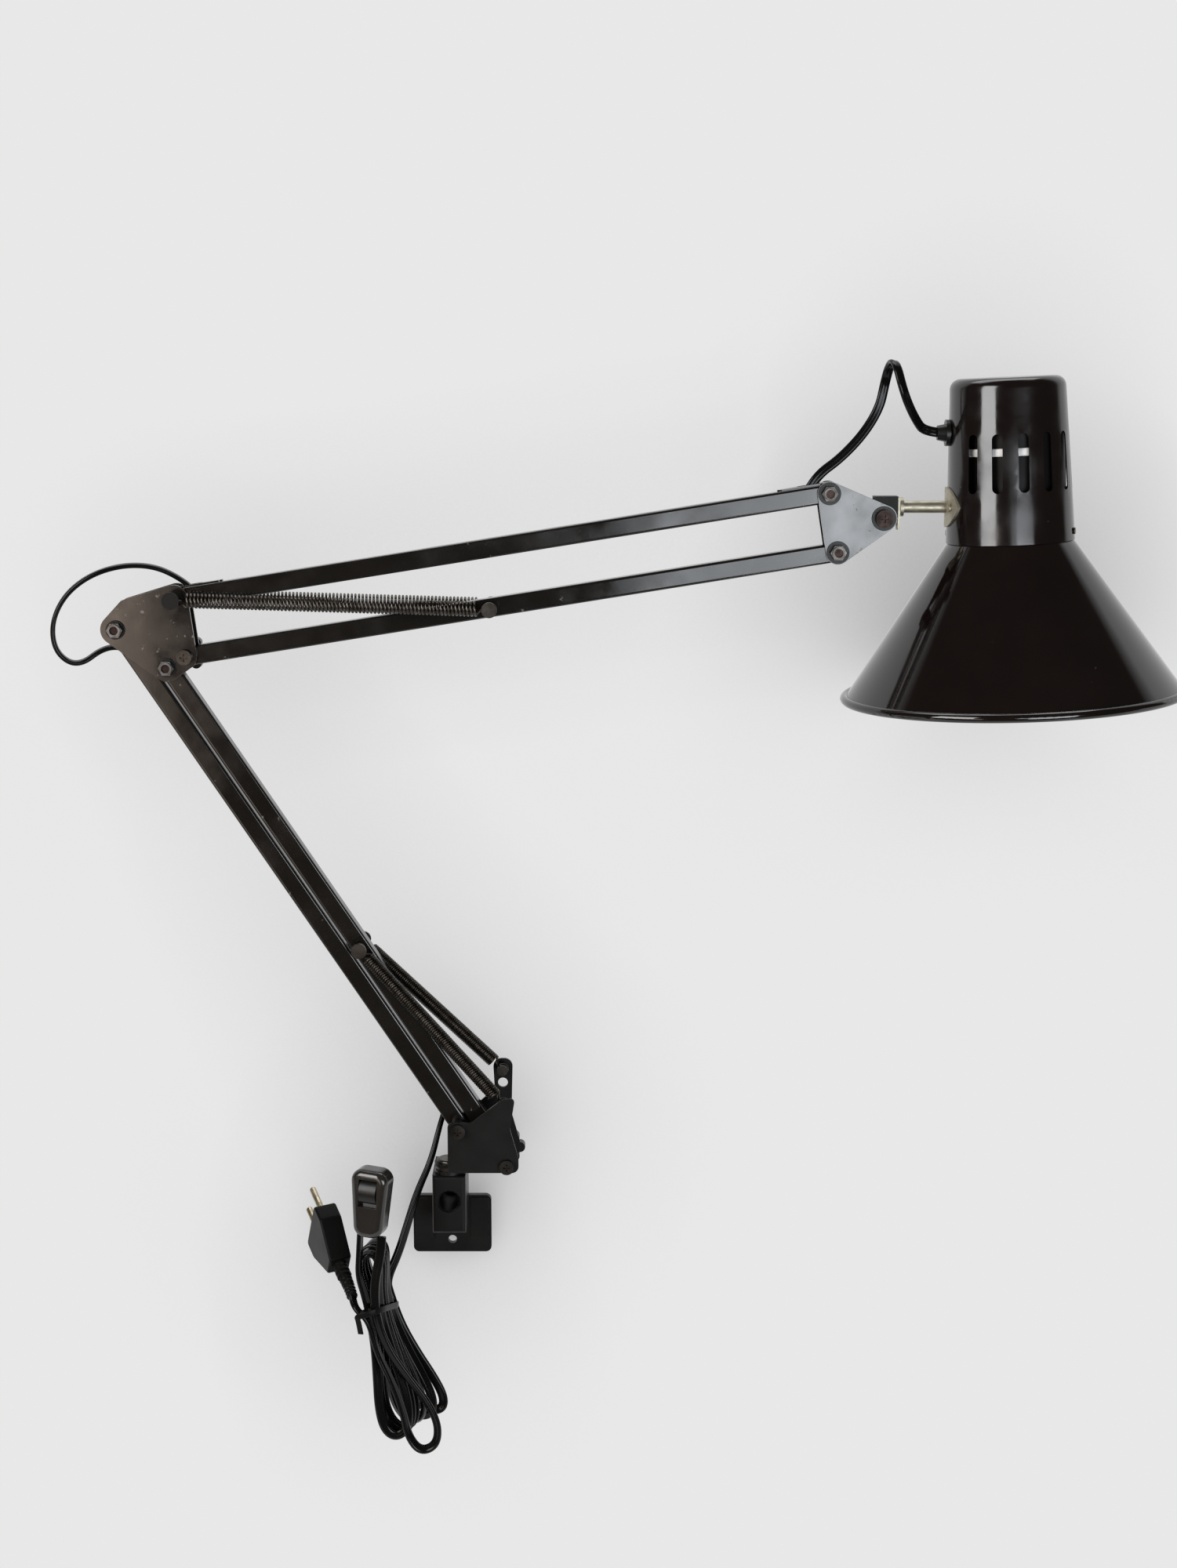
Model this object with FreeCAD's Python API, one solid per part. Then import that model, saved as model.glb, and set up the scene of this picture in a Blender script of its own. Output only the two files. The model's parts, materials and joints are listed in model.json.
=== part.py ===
import FreeCAD, Part
import math
import os

V = FreeCAD.Vector

# Driving dimensions, in millimetres and degrees
# The origin is the middle of the two screw holes, on the bracket's back face.
# X points towards the shade, Z is up along the swivel pin, and the arms lie in a plane in front of the face.

# Bracket
PIN_OFFSET = 27.0
SCREW_SPACING = 36.0
SCREW_HOLE_R = 2.6
PLATE_WIDTH = 48.0
PLATE_TOP = 10.5
PLATE_BOTTOM = -26.0
PLATE_THICK = 4.0
PLATE_CORNER_R = 3.5
PAD_THICK = 1.2
PAD_BOTTOM = -17.0
PAD_MARGIN = 1.5
BLOCK_WIDTH = 20.0
BLOCK_BOTTOM = -2.0
BLOCK_TOP = 34.0
BLOCK_FRONT = 9.5
BLOCK_EDGE_R = 2.0
SOCKET_R = 6.0
SOCKET_FLOOR = 5.0
SOCKET_RIM = 1.2

# Swivel pin, its bush and collar
PIN_R = 5.0
BUSH_WALL = 1.5
BUSH_FLANGE_R = 9.0
BUSH_FLANGE = 2.0
COLLAR_R = 8.0
RUN_CLEAR = 0.05
FACE_CLEAR = 0.1

# Tubes of the arms and their pivots, deeper in the arms' plane than across it
BAR = 10.0
BAR_DEPTH = 11.0
BAR_WALL = 1.0
BAR_CORNER_R = 1.5
PIVOT_R = 2.5
OPEN_PIVOT_CLEAR = 0.25

# Lower arm: length, lean to the left of upright, and the right tube's pivots measured from the left tube's
LOWER_LENGTH = 356.5
LOWER_LEAN = 33.2
LOWER_PAIR_X = 29.0
LOWER_PAIR_Z = -22.0
BASE_PIVOT_X = 6.15
BASE_PIVOT_Z = 64.65
LOWER_POST = 157.5

# Upper arm: length, rise above level, and the spacing of its two tubes
UPPER_LENGTH = 381.5
UPPER_RISE = 9.1
UPPER_SPACING = 34.0
UPPER_POST = 179.0
UPPER_PIVOT_X = 34.0
UPPER_PIVOT_Z = 17.75

# Yoke
YOKE_BOTTOM = 38.5
YOKE_WEB = 2.0
YOKE_WEB_RIGHT = 24.0
CHEEK_THICK = 1.6
TONGUE_R = 9.0
RIVET_HEAD_R = 7.5
RIVET_HEAD = 2.0
FRONT_ANCHOR_X = 33.0
FRONT_ANCHOR_Z = 79.0
REAR_ANCHOR_X = 32.0
REAR_ANCHOR_Z = 95.0
ANCHOR_R = 2.0
ANCHOR_FLANGE_R = 3.2
EAR_HOLE_R = 3.0
SPACER_R = 4.5

# Springs
LOWER_SPRING_D = 8.6
LOWER_SPRING_TURNS = 18
UPPER_SPRING_D = 9.0
UPPER_SPRING_TURNS = 26
WIRE_D = 1.2
SPRING_ROOM = 0.7
SPRING_END_GAP = 0.25
POST_R = 2.0
POST_HEAD_R = 4.5
SPRING_PIN_HEAD_R = 5.0
PIN_HEAD = 1.5

# Elbow and head plates with their fasteners
LINK_PLATE = 1.6
LINK_CLEAR = 0.35
WASHER = 1.2
ELBOW_WASHER_R = 5.5
HEAD_WASHER_R = 6.5
TILT_WASHER_R = 7.0
NUT_FLATS = 8.0
NUT = 4.6
BOLT_HEAD_R = 4.4
BOLT_HEAD = 3.0
BOLT_SUNK = 1.2
RECESS_WIDTH = 1.1
RECESS_LENGTH = 4.6
RECESS_DEPTH = 1.2
ELBOW_LEFT_EDGE_R = 8.8
ELBOW_LOW_EDGE_R = 8.2
ELBOW_RIGHT_EDGE_R = 7.2
ELBOW_TOP_EDGE_R = 8.2
ELBOW_CORNER_R = 4.0
ELBOW_CORNER_X = 6.0
ELBOW_CORNER_Z = 13.5
HEAD_EDGE = 6.9
HEAD_EDGE_TILT = 7.6
TILT_X = 31.4
TILT_Z = -14.1

# Hand knobs
KNOB_R = 10.0
KNOB_LOBES = 6
KNOB_LOBE_R = 3.2
KNOB_THICK = 6.0
KNOB_HUB_R = 4.4
BASE_KNOB_HUB = 2.2

# Stem between head and shade
TILT_SCREW_R = 2.0
STEM_FLOOR = 1.5
STEM_END_CLEAR = 0.5
TILT_HEAD_R = 5.0
STEM_R = 3.5
STEM_RISE = 6.3
STEM_REACH = 37.0
STEM_COLLAR_R = 5.5
STEM_COLLAR = 2.0
BLOCK_R = 7.2
BLOCK_LEFT = 5.5
BLOCK_RIGHT = 8.2
BLOCK_ABOVE = 6.2
BLOCK_CLEAR = 0.25
FORK_THICK = 1.3
FORK_HALF_WIDTH = 4.4
FORK_DROP = 13.0
FORK_ABOVE = 5.4
SADDLE_THICK = 1.3
SADDLE_HALF_WIDTH = 18.0
SADDLE_HALF_HEIGHT = 11.5
SADDLE_ABOVE_CONE = 21.0
SADDLE_RIVET_ANGLE = 15.0
SADDLE_RIVET_R = 1.3
SADDLE_RIVET_HEAD_R = 2.3
SADDLE_RIVET_HEAD = 1.2

# Shade
RIM_R = 100.0
RIM_BEAD_R = 2.6
CONE_HEIGHT = 91.3
NECK_HEIGHT = 10.0
CAP_BOTTOM_R = 36.8
CAP_TOP_R = 32.5
CAP_HEIGHT = 93.0
CAP_ROUND = 6.0
SHADE_WALL = 0.8
FIT_CLEAR = 0.05
SLOT_COUNT = 12
SLOT_STEP = 24.6
SLOT_WIDTH = 6.0
SLOT_ABOVE_CONE = 29.0
SLOT_LENGTH = 33.0
CAP_SCREW_COUNT = 2
CAP_SCREW_FIRST = 68.0
CAP_SCREW_HEIGHT = 5.0
CAP_SCREW_R = 1.2
CAP_SCREW_HEAD_R = 1.9
CAP_SCREW_HEAD = 0.8
CAP_SCREW_END = 2.0
GLAND_ABOVE_CONE = 63.0
GLAND_R = 5.5
GLAND_FLANGE_R = 7.5
GLAND_FLANGE = 2.2
GLAND_LENGTH = 7.0
GLAND_INSIDE = 4.0
HOLDER_R = 19.0
HOLDER_FLANGE_R = 22.0
HOLDER_FLANGE = 3.0
HOLDER_LENGTH = 60.0
HOLDER_BORE_R = 13.3
HOLDER_BORE = 30.0

# Cord
CORD_R = 2.2
EXIT_SETBACK = 14.0
EXIT_RUN = 15.0
EXIT_ANGLE = 50.0
SLOT_CUT_LENGTH = 15.0
SLOT_CUT_WIDTH = 5.4
CLIP_LENGTH = 30.0
CLIP_WIDTH = 7.0
CLIP_THICK = 1.0

# Control points of the cord's loops: x, z and y, each from the joint or gland that is named
ELBOW_LOOP_FROM_TOP = [(-12.0, 19.0, -3.0), (-30.0, 19.5, -6.0)]
ELBOW_LOOP_FROM_LEFT = [
    (-14.0, 31.5, -8.0),
    (-28.5, 20.0, -9.0),
    (-36.5, 3.5, -9.0),
    (-35.0, -13.5, -7.0),
    (-23.0, -22.0, -4.0),
]
HEAD_LOOP_FROM_TOP = [
    (6.5, 19.5, 2.0),
    (20.0, 33.5, 4.0),
    (29.0, 48.5, 5.0),
    (31.5, 62.0, 4.0),
    (32.9, 70.5, -1.0),
    (34.4, 75.0, -9.0),
]
HEAD_LOOP_FROM_GLAND = [(-32.5, 37.0, -17.0), (-30.0, 27.0, -19.0), (-26.5, 18.0, -16.0), (-21.0, 8.5, -9.0)]

# Hank of the cord, tied at its waist
HANK_X = -40.0
HANK_Y = -36.0
HANK_Z = -36.5
HANK_LEAN = 12.0
HANK_LOOPS = 6
HANK_PITCH = 5.0
HANK_SHEAR = 0.385
HANK_ABOVE = 37.0
HANK_BELOW = 78.0
HANK_WAIST = 2.9
HANK_SPREAD_ABOVE = 9.0
HANK_SHIFT_ABOVE = 3.5
HANK_SPREAD_BELOW = 2.8
HANK_FAN_FIRST = 15.0
HANK_FAN_LAST = -2.0
TIE_THICK = 1.2
TIE_HEIGHT = 3.5
TIE_CLEAR = 1.2
TIE_CORNER_R = 3.0
TIE_END = 10.0
TIE_END_R = 0.9

# Switch on the cord
SWITCH_X = -43.1
SWITCH_Y = -53.0
SWITCH_Z = 13.6
SWITCH_LEAN = 3.0
SWITCH_TURN = -18.0
SWITCH_LENGTH = 41.0
SWITCH_WIDTH = 24.0
SWITCH_FRONT = 8.0
SWITCH_REAR = 7.0
SWITCH_TAPER = 3.5
SWITCH_CORNER_R = 7.0
SWITCH_EDGE_R = 4.0
ROCKER_LENGTH = 13.5
ROCKER_WIDTH = 10.5
ROCKER_HEIGHT = 27.5
ROCKER_R = 9.0
ROCKER_PROUD = 1.2
ROCKER_TILT = 7.0
ROCKER_CLEAR = 0.5

# Plug on the cord
PLUG_X = -60.0
PLUG_Y = -36.0
PLUG_Z = -20.6
PLUG_WIDTH = 35.3
PLUG_THICK = 13.7
PLUG_LENGTH = 34.0
PLUG_NECK = 12.0
PLUG_SQUARE = 12.0
PLUG_EDGE_R = 2.5
RELIEF_LENGTH = 11.0
RELIEF_R = 4.4
PLUG_PIN_R = 2.0
PLUG_PIN_LENGTH = 19.0
PLUG_PIN_SPACING = 18.6
PLUG_AIM = V(-0.405, 0.757, 0.514)
PLUG_ACROSS = V(-0.186, 0.482, -0.856)


# Places worked out from the driving dimensions
def arm(x, z, y=0.0):
    """A point of the arms' plane, y in front of it when negative."""
    return V(x, y - PIN_OFFSET, z)


def toward(angle):
    """The direction in the arms' plane at an angle above +X."""
    return V(math.cos(math.radians(angle)), 0, math.sin(math.radians(angle)))


LOWER_AIM = toward(90.0 + LOWER_LEAN)
UPPER_AIM = toward(UPPER_RISE)
LOWER_SIDE = toward(180.0 + LOWER_LEAN)
UPPER_SIDE = toward(90.0 + UPPER_RISE)
LOWER_PAIR = V(LOWER_PAIR_X, 0, LOWER_PAIR_Z)
UPPER_PAIR = UPPER_SIDE * -UPPER_SPACING
BASE_LEFT = arm(BASE_PIVOT_X, BASE_PIVOT_Z)
BASE_RIGHT = BASE_LEFT + LOWER_PAIR
ELBOW_LEFT = BASE_LEFT + LOWER_AIM * LOWER_LENGTH
ELBOW_LOW = ELBOW_LEFT + LOWER_PAIR
ELBOW_TOP = ELBOW_LEFT + V(UPPER_PIVOT_X, 0, UPPER_PIVOT_Z)
ELBOW_RIGHT = ELBOW_TOP + UPPER_PAIR
HEAD_TOP = ELBOW_TOP + UPPER_AIM * UPPER_LENGTH
HEAD_LOW = HEAD_TOP + UPPER_PAIR
TILT = HEAD_TOP + V(TILT_X, 0, TILT_Z)
STEM = TILT + V(0, 0, STEM_RISE)
SADDLE = STEM + V(STEM_REACH, 0, 0)

PLATE_IN = BAR / 2 + LINK_CLEAR
PLATE_OUT = PLATE_IN + LINK_PLATE
NUT_SEAT = PLATE_OUT + WASHER
LOWER_SPRING_Y = BAR / 2 + SPRING_ROOM + LOWER_SPRING_D / 2
CHEEK_IN = LOWER_SPRING_Y + LOWER_SPRING_D / 2 + SPRING_ROOM
CHEEK_OUT = CHEEK_IN + CHEEK_THICK
UPPER_SPRING_Y = PLATE_OUT + 2 * SPRING_ROOM + UPPER_SPRING_D / 2
UPPER_PIN_END = UPPER_SPRING_Y + UPPER_SPRING_D / 2
BUSH_R = PIN_R + RUN_CLEAR + BUSH_WALL
SOCKET_Z = SCREW_SPACING / 2
PIN_END = SOCKET_Z + SOCKET_R + 0.6
COLLAR_BOTTOM = BLOCK_TOP + BUSH_FLANGE + FACE_CLEAR
WEB_TOP = YOKE_BOTTOM + YOKE_WEB
SWIVEL = arm(0, 0)


# Basic forms
def rod(p, q, r):
    """A round bar from p to q."""
    return Part.makeCylinder(r, (q - p).Length, p, q - p)


def cone_rod(p, q, r_start, r_end):
    """A tapered round bar from p to q."""
    return Part.makeCone(r_start, r_end, (q - p).Length, p, q - p)


def across(point, y_start, y_end, r):
    """A round bar square to the arms' plane, through a point of it."""
    return rod(point + V(0, y_start, 0), point + V(0, y_end, 0), r)


def box(low, high):
    """A box between two corners."""
    size = high - low
    return Part.makeBox(size.x, size.y, size.z, low)


def slab(wire, y_start, y_end):
    """An outline in the arms' plane, thickened from y_start to y_end."""
    face = Part.Face(wire)
    face.translate(V(0, y_start, 0))
    return face.extrude(V(0, y_end - y_start, 0))


def belt(circles):
    """The outline round circles (centre, radius) that are listed anticlockwise."""
    normals = []
    count = len(circles)
    for i in range(count):
        (c1, r1), (c2, r2) = circles[i], circles[(i + 1) % count]
        gap = c2 - c1
        along = V(gap).normalize()
        lean = (r1 - r2) / gap.Length
        outward = V(along.z, 0, -along.x)
        normals.append(along * lean + outward * math.sqrt(1 - lean * lean))
    edges = []
    for i in range(count):
        centre, r = circles[i]
        before, after = normals[i - 1], normals[i]
        start_angle = math.atan2(before.z, before.x)
        swept = (math.atan2(after.z, after.x) - start_angle) % (2 * math.pi)
        middle = toward(math.degrees(start_angle + swept / 2))
        edges.append(Part.Arc(centre + before * r, centre + middle * r, centre + after * r).toShape())
        ahead, ahead_r = circles[(i + 1) % count]
        edges.append(Part.makeLine(centre + after * r, ahead + after * ahead_r))
    return Part.Wire(edges)


def rounded(corners):
    """A closed outline through corners (point, radius)."""
    edges = []
    ends = []
    count = len(corners)
    for i in range(count):
        point, r = corners[i]
        back = V(corners[i - 1][0] - point).normalize()
        ahead = V(corners[(i + 1) % count][0] - point).normalize()
        half = back.getAngle(ahead) / 2
        reach = r / math.tan(half)
        inward = V(back + ahead).normalize()
        nearest = point + inward * (r / math.sin(half) - r)
        ends.append((point + back * reach, nearest, point + ahead * reach))
    for i in range(count):
        start, middle, end = ends[i]
        edges.append(Part.Arc(start, middle, end).toShape())
        edges.append(Part.makeLine(end, ends[(i + 1) % count][0]))
    return Part.Wire(edges)


def flat_edges(shape, z):
    """The edges of a shape that lie level at height z."""
    def level(edge):
        return abs(edge.BoundBox.ZMin - z) < 1e-6 and abs(edge.BoundBox.ZMax - z) < 1e-6
    return [edge for edge in shape.Edges if level(edge)]


# Tubes along routes
def circle_at(point, direction, r):
    return Part.Wire(Part.makeCircle(r, point, direction))


def sweep(edges, r, name):
    """A round tube along tangent edges, checked against its section times its length."""
    spine = Part.Wire(edges)
    start = edges[0].valueAt(edges[0].FirstParameter)
    direction = edges[0].tangentAt(edges[0].FirstParameter)
    tube = spine.makePipeShell([circle_at(start, direction, r)], True, False)
    expected = math.pi * r * r * spine.Length
    print(name, "length", round(spine.Length, 1), "volume ratio", round(tube.Volume / expected, 4))
    return tube


def route_edges(points, name):
    """Straight runs joined by tangent arcs, each arc as large as its two runs allow."""
    edges = []
    radii = []
    here = points[0]
    for i in range(1, len(points) - 1):
        corner = points[i]
        back = points[i - 1] - corner
        ahead = points[i + 1] - corner
        turn = math.pi - back.getAngle(ahead)
        reach = 0.45 * min(back.Length, ahead.Length)
        r = reach / math.tan(turn / 2)
        radii.append(round(r, 1))
        back.normalize()
        ahead.normalize()
        inward = V(back + ahead).normalize()
        nearest = corner + inward * (math.hypot(r, reach) - r)
        start = corner + back * reach
        end = corner + ahead * reach
        edges.append(Part.makeLine(here, start))
        edges.append(Part.Arc(start, nearest, end).toShape())
        here = end
    edges.append(Part.makeLine(here, points[-1]))
    print(name, "radii", radii)
    return edges


def cord(points, name):
    return sweep(route_edges(points, name), CORD_R, name)


def arc_from(start, tangent, end):
    """The arc that leaves start along a tangent and ends at end."""
    chord = end - start
    along = V(chord).normalize()
    side = tangent - along * tangent.dot(along)
    if side.Length < 1e-9:
        return Part.makeLine(start, end)
    rise = chord.Length / 2 * math.tan(tangent.getAngle(chord) / 2)
    return Part.Arc(start, start + chord * 0.5 + side.normalize() * rise, end).toShape()


def biarc(p, p_tangent, q, q_tangent):
    """Two tangent arcs from p to q that keep both end tangents."""
    gap = q - p
    both = p_tangent + q_tangent
    bend = 2 * (1 - p_tangent.dot(q_tangent))
    ahead = gap.dot(both)
    if bend < 1e-9:
        reach = gap.dot(gap) / (2 * ahead)
    else:
        reach = (math.sqrt(ahead * ahead + bend * gap.dot(gap)) - ahead) / bend
    middle = (p + q + (p_tangent - q_tangent) * reach) * 0.5
    last = arc_from(q, q_tangent * -1, middle)
    second = Part.Arc(middle, last.valueAt((last.FirstParameter + last.LastParameter) / 2), q)
    return [arc_from(p, p_tangent, middle), second.toShape()]


def least_gap(edges, r, skip):
    """The least clear distance of a tube to itself, on points, leaving out neighbours within skip."""
    points = []
    for edge in edges:
        points += edge.discretize(7)[:-1]
    lengths = [0.0]
    for before, after in zip(points, points[1:]):
        lengths.append(lengths[-1] + before.distanceToPoint(after))
    least = 1e9
    for i in range(len(points)):
        for j in range(i + 1, len(points)):
            if lengths[j] - lengths[i] > skip:
                least = min(least, points[i].distanceToPoint(points[j]))
    return least - 2 * r


def winding(path, steps):
    """Biarc edges through a path that gives a point for each step."""
    def tangent(step):
        return V(path(step + 1e-4) - path(step - 1e-4)).normalize()
    edges = []
    for step, following in zip(steps, steps[1:]):
        edges += biarc(path(step), tangent(step), path(following), tangent(following))
    return edges, tangent


def spring(start, end, start_r, end_r, coil_d, turns, name):
    """A tension spring between two cross pins, with straight ends that point at the pins."""
    along = V(end - start).normalize()
    side = V(0, 1, 0).cross(along)
    mean_r = (coil_d - WIRE_D) / 2
    first = start + along * (start_r + SPRING_END_GAP)
    last = end - along * (end_r + SPRING_END_GAP)
    lead = 2 * mean_r + WIRE_D
    coil_start = first + along * lead
    coil = (last - first).Length - 2 * lead

    def path(turn):
        angle = 2 * math.pi * turn
        radial = side * math.cos(angle) + V(0, math.sin(angle), 0)
        return coil_start + radial * mean_r + along * (coil * turn / turns)

    edges, tangent = winding(path, [i / 2 for i in range(2 * turns + 1)])
    inner_start = first + along * WIRE_D
    inner_end = last - along * WIRE_D
    head = [Part.makeLine(first, inner_start)] + biarc(inner_start, along, path(0), tangent(0))
    tail = biarc(path(turns), tangent(turns), inner_end, along) + [Part.makeLine(inner_end, last)]
    print(name, "least gap", round(least_gap(edges, WIRE_D / 2, coil_d), 2))
    return sweep(head + edges + tail, WIRE_D / 2, name)


# Bracket
def wall_bracket():
    half = PLATE_WIDTH / 2
    corners = [
        V(-half, 0, PLATE_BOTTOM),
        V(half, 0, PLATE_BOTTOM),
        V(half, 0, PLATE_TOP),
        V(-half, 0, PLATE_TOP),
    ]
    plate = slab(rounded([(c, PLATE_CORNER_R) for c in corners]), -PLATE_THICK, 0)
    pad_front = -PLATE_THICK - PAD_THICK
    for side in (-1, 1):
        inner = side * (BLOCK_WIDTH / 2 + PAD_MARGIN)
        outer = side * (half - PAD_MARGIN)
        low = V(min(inner, outer), pad_front, PAD_BOTTOM)
        high = V(max(inner, outer), -PLATE_THICK, PLATE_TOP - PAD_MARGIN)
        plate = plate.fuse(box(low, high))
    front = -PIN_OFFSET - BLOCK_FRONT
    block = box(V(-BLOCK_WIDTH / 2, front, BLOCK_BOTTOM), V(BLOCK_WIDTH / 2, 0, BLOCK_TOP))
    front_edges = [e for e in block.Edges if abs(e.BoundBox.YMax - front) < 1e-6]
    block = block.makeFillet(BLOCK_EDGE_R, front_edges)
    body = plate.fuse(block)
    socket = rod(V(0, front - 1, SOCKET_Z), V(0, -SOCKET_FLOOR, SOCKET_Z), SOCKET_R)
    bore = rod(SWIVEL + V(0, 0, SOCKET_Z), SWIVEL + V(0, 0, BLOCK_TOP + 1), BUSH_R)
    mouth = V(0, front, SOCKET_Z)
    lead_in = cone_rod(mouth, mouth + V(0, SOCKET_RIM, 0), SOCKET_R + SOCKET_RIM, SOCKET_R)
    body = body.cut(socket).cut(lead_in).cut(bore)
    for z in (-SCREW_SPACING / 2, SCREW_SPACING / 2):
        body = body.cut(rod(V(0, front - 1, z), V(0, 1, z), SCREW_HOLE_R))
    return body.removeSplitter()


def pivot_bush():
    sleeve = rod(SWIVEL + V(0, 0, PIN_END), SWIVEL + V(0, 0, BLOCK_TOP), BUSH_R)
    flange = rod(SWIVEL + V(0, 0, BLOCK_TOP), SWIVEL + V(0, 0, BLOCK_TOP + BUSH_FLANGE), BUSH_FLANGE_R)
    hole = rod(SWIVEL, SWIVEL + V(0, 0, BLOCK_TOP + 2 * BUSH_FLANGE), PIN_R + RUN_CLEAR)
    return sleeve.fuse(flange).cut(hole).removeSplitter()


# Swivel
def swivel_pin():
    shaft = rod(SWIVEL + V(0, 0, PIN_END), SWIVEL + V(0, 0, WEB_TOP), PIN_R)
    head = rod(SWIVEL + V(0, 0, WEB_TOP), SWIVEL + V(0, 0, WEB_TOP + RIVET_HEAD), RIVET_HEAD_R)
    head = head.makeFillet(RIVET_HEAD * 0.7, flat_edges(head, WEB_TOP + RIVET_HEAD))
    return shaft.fuse(head)


def pin_collar():
    ring = rod(SWIVEL + V(0, 0, COLLAR_BOTTOM), SWIVEL + V(0, 0, YOKE_BOTTOM), COLLAR_R)
    return ring.cut(rod(SWIVEL, SWIVEL + V(0, 0, YOKE_BOTTOM + 1), PIN_R))


def cheek_outline(side):
    """The outline of a cheek: the rear one has a taller ear for its spring."""
    right = BASE_RIGHT.x + 7.0
    corners = [
        (V(0, -PIN_OFFSET, YOKE_BOTTOM), 1.5),
        (V(right, -PIN_OFFSET, YOKE_BOTTOM), 4.0),
        (V(right, -PIN_OFFSET, BASE_RIGHT.z + 5.0), 3.0),
        (V(BASE_RIGHT.x + 2.0, -PIN_OFFSET, BASE_LEFT.z + 1.0), 8.0),
    ]
    ear = [
        (V(REAR_ANCHOR_X + 6.0, -PIN_OFFSET, REAR_ANCHOR_Z + 5.0), 5.0),
        (V(REAR_ANCHOR_X - 6.0, -PIN_OFFSET, REAR_ANCHOR_Z + 5.0), 5.0),
        (V(REAR_ANCHOR_X - 5.0, -PIN_OFFSET, FRONT_ANCHOR_Z + 2.0), 3.0),
    ]
    shoulder = [
        (V(FRONT_ANCHOR_X + 7.3, -PIN_OFFSET, FRONT_ANCHOR_Z + 6.2), 2.5),
        (V(FRONT_ANCHOR_X - 1.0, -PIN_OFFSET, FRONT_ANCHOR_Z + 4.6), 3.0),
    ]
    corners += ear if side > 0 else shoulder
    corners += [
        (V(BASE_LEFT.x + 8.0, -PIN_OFFSET, BASE_LEFT.z + 5.0), 4.0),
        (V(0, -PIN_OFFSET, BASE_LEFT.z + 5.0), 3.0),
    ]
    return rounded(corners)


def base_yoke():
    web_half = V(0, CHEEK_OUT, 0)
    web = box(arm(0, YOKE_BOTTOM) - web_half, arm(YOKE_WEB_RIGHT, WEB_TOP) + web_half)
    yoke = web.fuse(rod(arm(0, YOKE_BOTTOM), arm(0, WEB_TOP), TONGUE_R))
    for side in (-1, 1):
        faces = sorted([side * CHEEK_IN, side * CHEEK_OUT])
        cheek = slab(cheek_outline(side), faces[0], faces[1])
        yoke = yoke.fuse(cheek)
    yoke = yoke.cut(rod(arm(0, YOKE_BOTTOM - 1), arm(0, WEB_TOP + 1), PIN_R))
    for pivot in (BASE_LEFT, BASE_RIGHT):
        yoke = yoke.cut(across(pivot, -CHEEK_OUT - 1, CHEEK_OUT + 1, PIVOT_R))
    ear_hole = arm(REAR_ANCHOR_X, REAR_ANCHOR_Z - 10.0)
    yoke = yoke.cut(across(ear_hole, CHEEK_IN - 1, CHEEK_OUT + 1, EAR_HOLE_R))
    return yoke.removeSplitter()


def spring_anchor(x, z, side):
    """A headed pin that stands inwards from a cheek."""
    point = arm(x, z)
    inner = LOWER_SPRING_Y - LOWER_SPRING_D / 2 + SPRING_ROOM / 2
    shaft = across(point, side * inner, side * CHEEK_IN, ANCHOR_R)
    return shaft.fuse(across(point, side * inner, side * (inner + 1.0), ANCHOR_FLANGE_R))


def base_bolts():
    bolts = []
    for pivot, tail in ((BASE_LEFT, NUT), (BASE_RIGHT, FACE_CLEAR + BASE_KNOB_HUB + KNOB_THICK)):
        bolt = across(pivot, -CHEEK_OUT, CHEEK_OUT + tail, PIVOT_R)
        head = across(pivot, -CHEEK_OUT - BOLT_HEAD, -CHEEK_OUT, BOLT_HEAD_R)
        bolts.append(bolt.fuse(head).cut(cross_recess(pivot, -CHEEK_OUT - BOLT_HEAD)))
    bolts[0] = bolts[0].fuse(hex_nut(BASE_LEFT, CHEEK_OUT, 1))
    return Part.makeCompound(bolts)


def base_spacers():
    """Sleeves on the base bolts that keep the tubes in the middle of the yoke."""
    sleeves = []
    for pivot in (BASE_LEFT, BASE_RIGHT):
        for side in (-1, 1):
            sleeve = across(pivot, side * (BAR / 2 + FACE_CLEAR), side * CHEEK_IN, SPACER_R)
            sleeves.append(sleeve.cut(across(pivot, -CHEEK_OUT, CHEEK_OUT, PIVOT_R)))
    return Part.makeCompound(sleeves)


def hex_nut(point, seat, side):
    """A hexagon nut, solid inside, standing out from a seat on one side."""
    corner_r = NUT_FLATS / 2 / math.cos(math.radians(30))
    corners = [point + toward(60 * i) * corner_r for i in range(7)]
    y_low, y_high = sorted((side * seat, side * (seat + NUT * 0.7)))
    nut = slab(Part.makePolygon(corners), y_low, y_high)
    return nut.fuse(across(point, side * seat, side * (seat + NUT), NUT_FLATS / 2 - 0.4))


def cross_recess(point, face):
    """The cutter for a cross recess in a screw's front face."""
    long_half = RECESS_LENGTH / 2
    short_half = RECESS_WIDTH / 2
    bars = []
    for x, z in ((long_half, short_half), (short_half, long_half)):
        bars.append(box(point + V(-x, face - 1, -z), point + V(x, face + RECESS_DEPTH, z)))
    return bars[0].fuse(bars[1])


def lobed_knob(point, seat, hub):
    """A hand knob behind the plates, on a hub, with round lobes."""
    disc_y = seat + hub
    ring_r = KNOB_R - KNOB_LOBE_R
    disc = across(point, disc_y, disc_y + KNOB_THICK, ring_r)
    for i in range(KNOB_LOBES):
        lobe = point + toward(360.0 * i / KNOB_LOBES) * ring_r
        disc = disc.fuse(across(lobe, disc_y, disc_y + KNOB_THICK, KNOB_LOBE_R))
    knob = disc.fuse(across(point, seat, disc_y, KNOB_HUB_R))
    hole = across(point, seat - 1, disc_y + KNOB_THICK + 1, PIVOT_R + RUN_CLEAR)
    return knob.cut(hole).removeSplitter()


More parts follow.
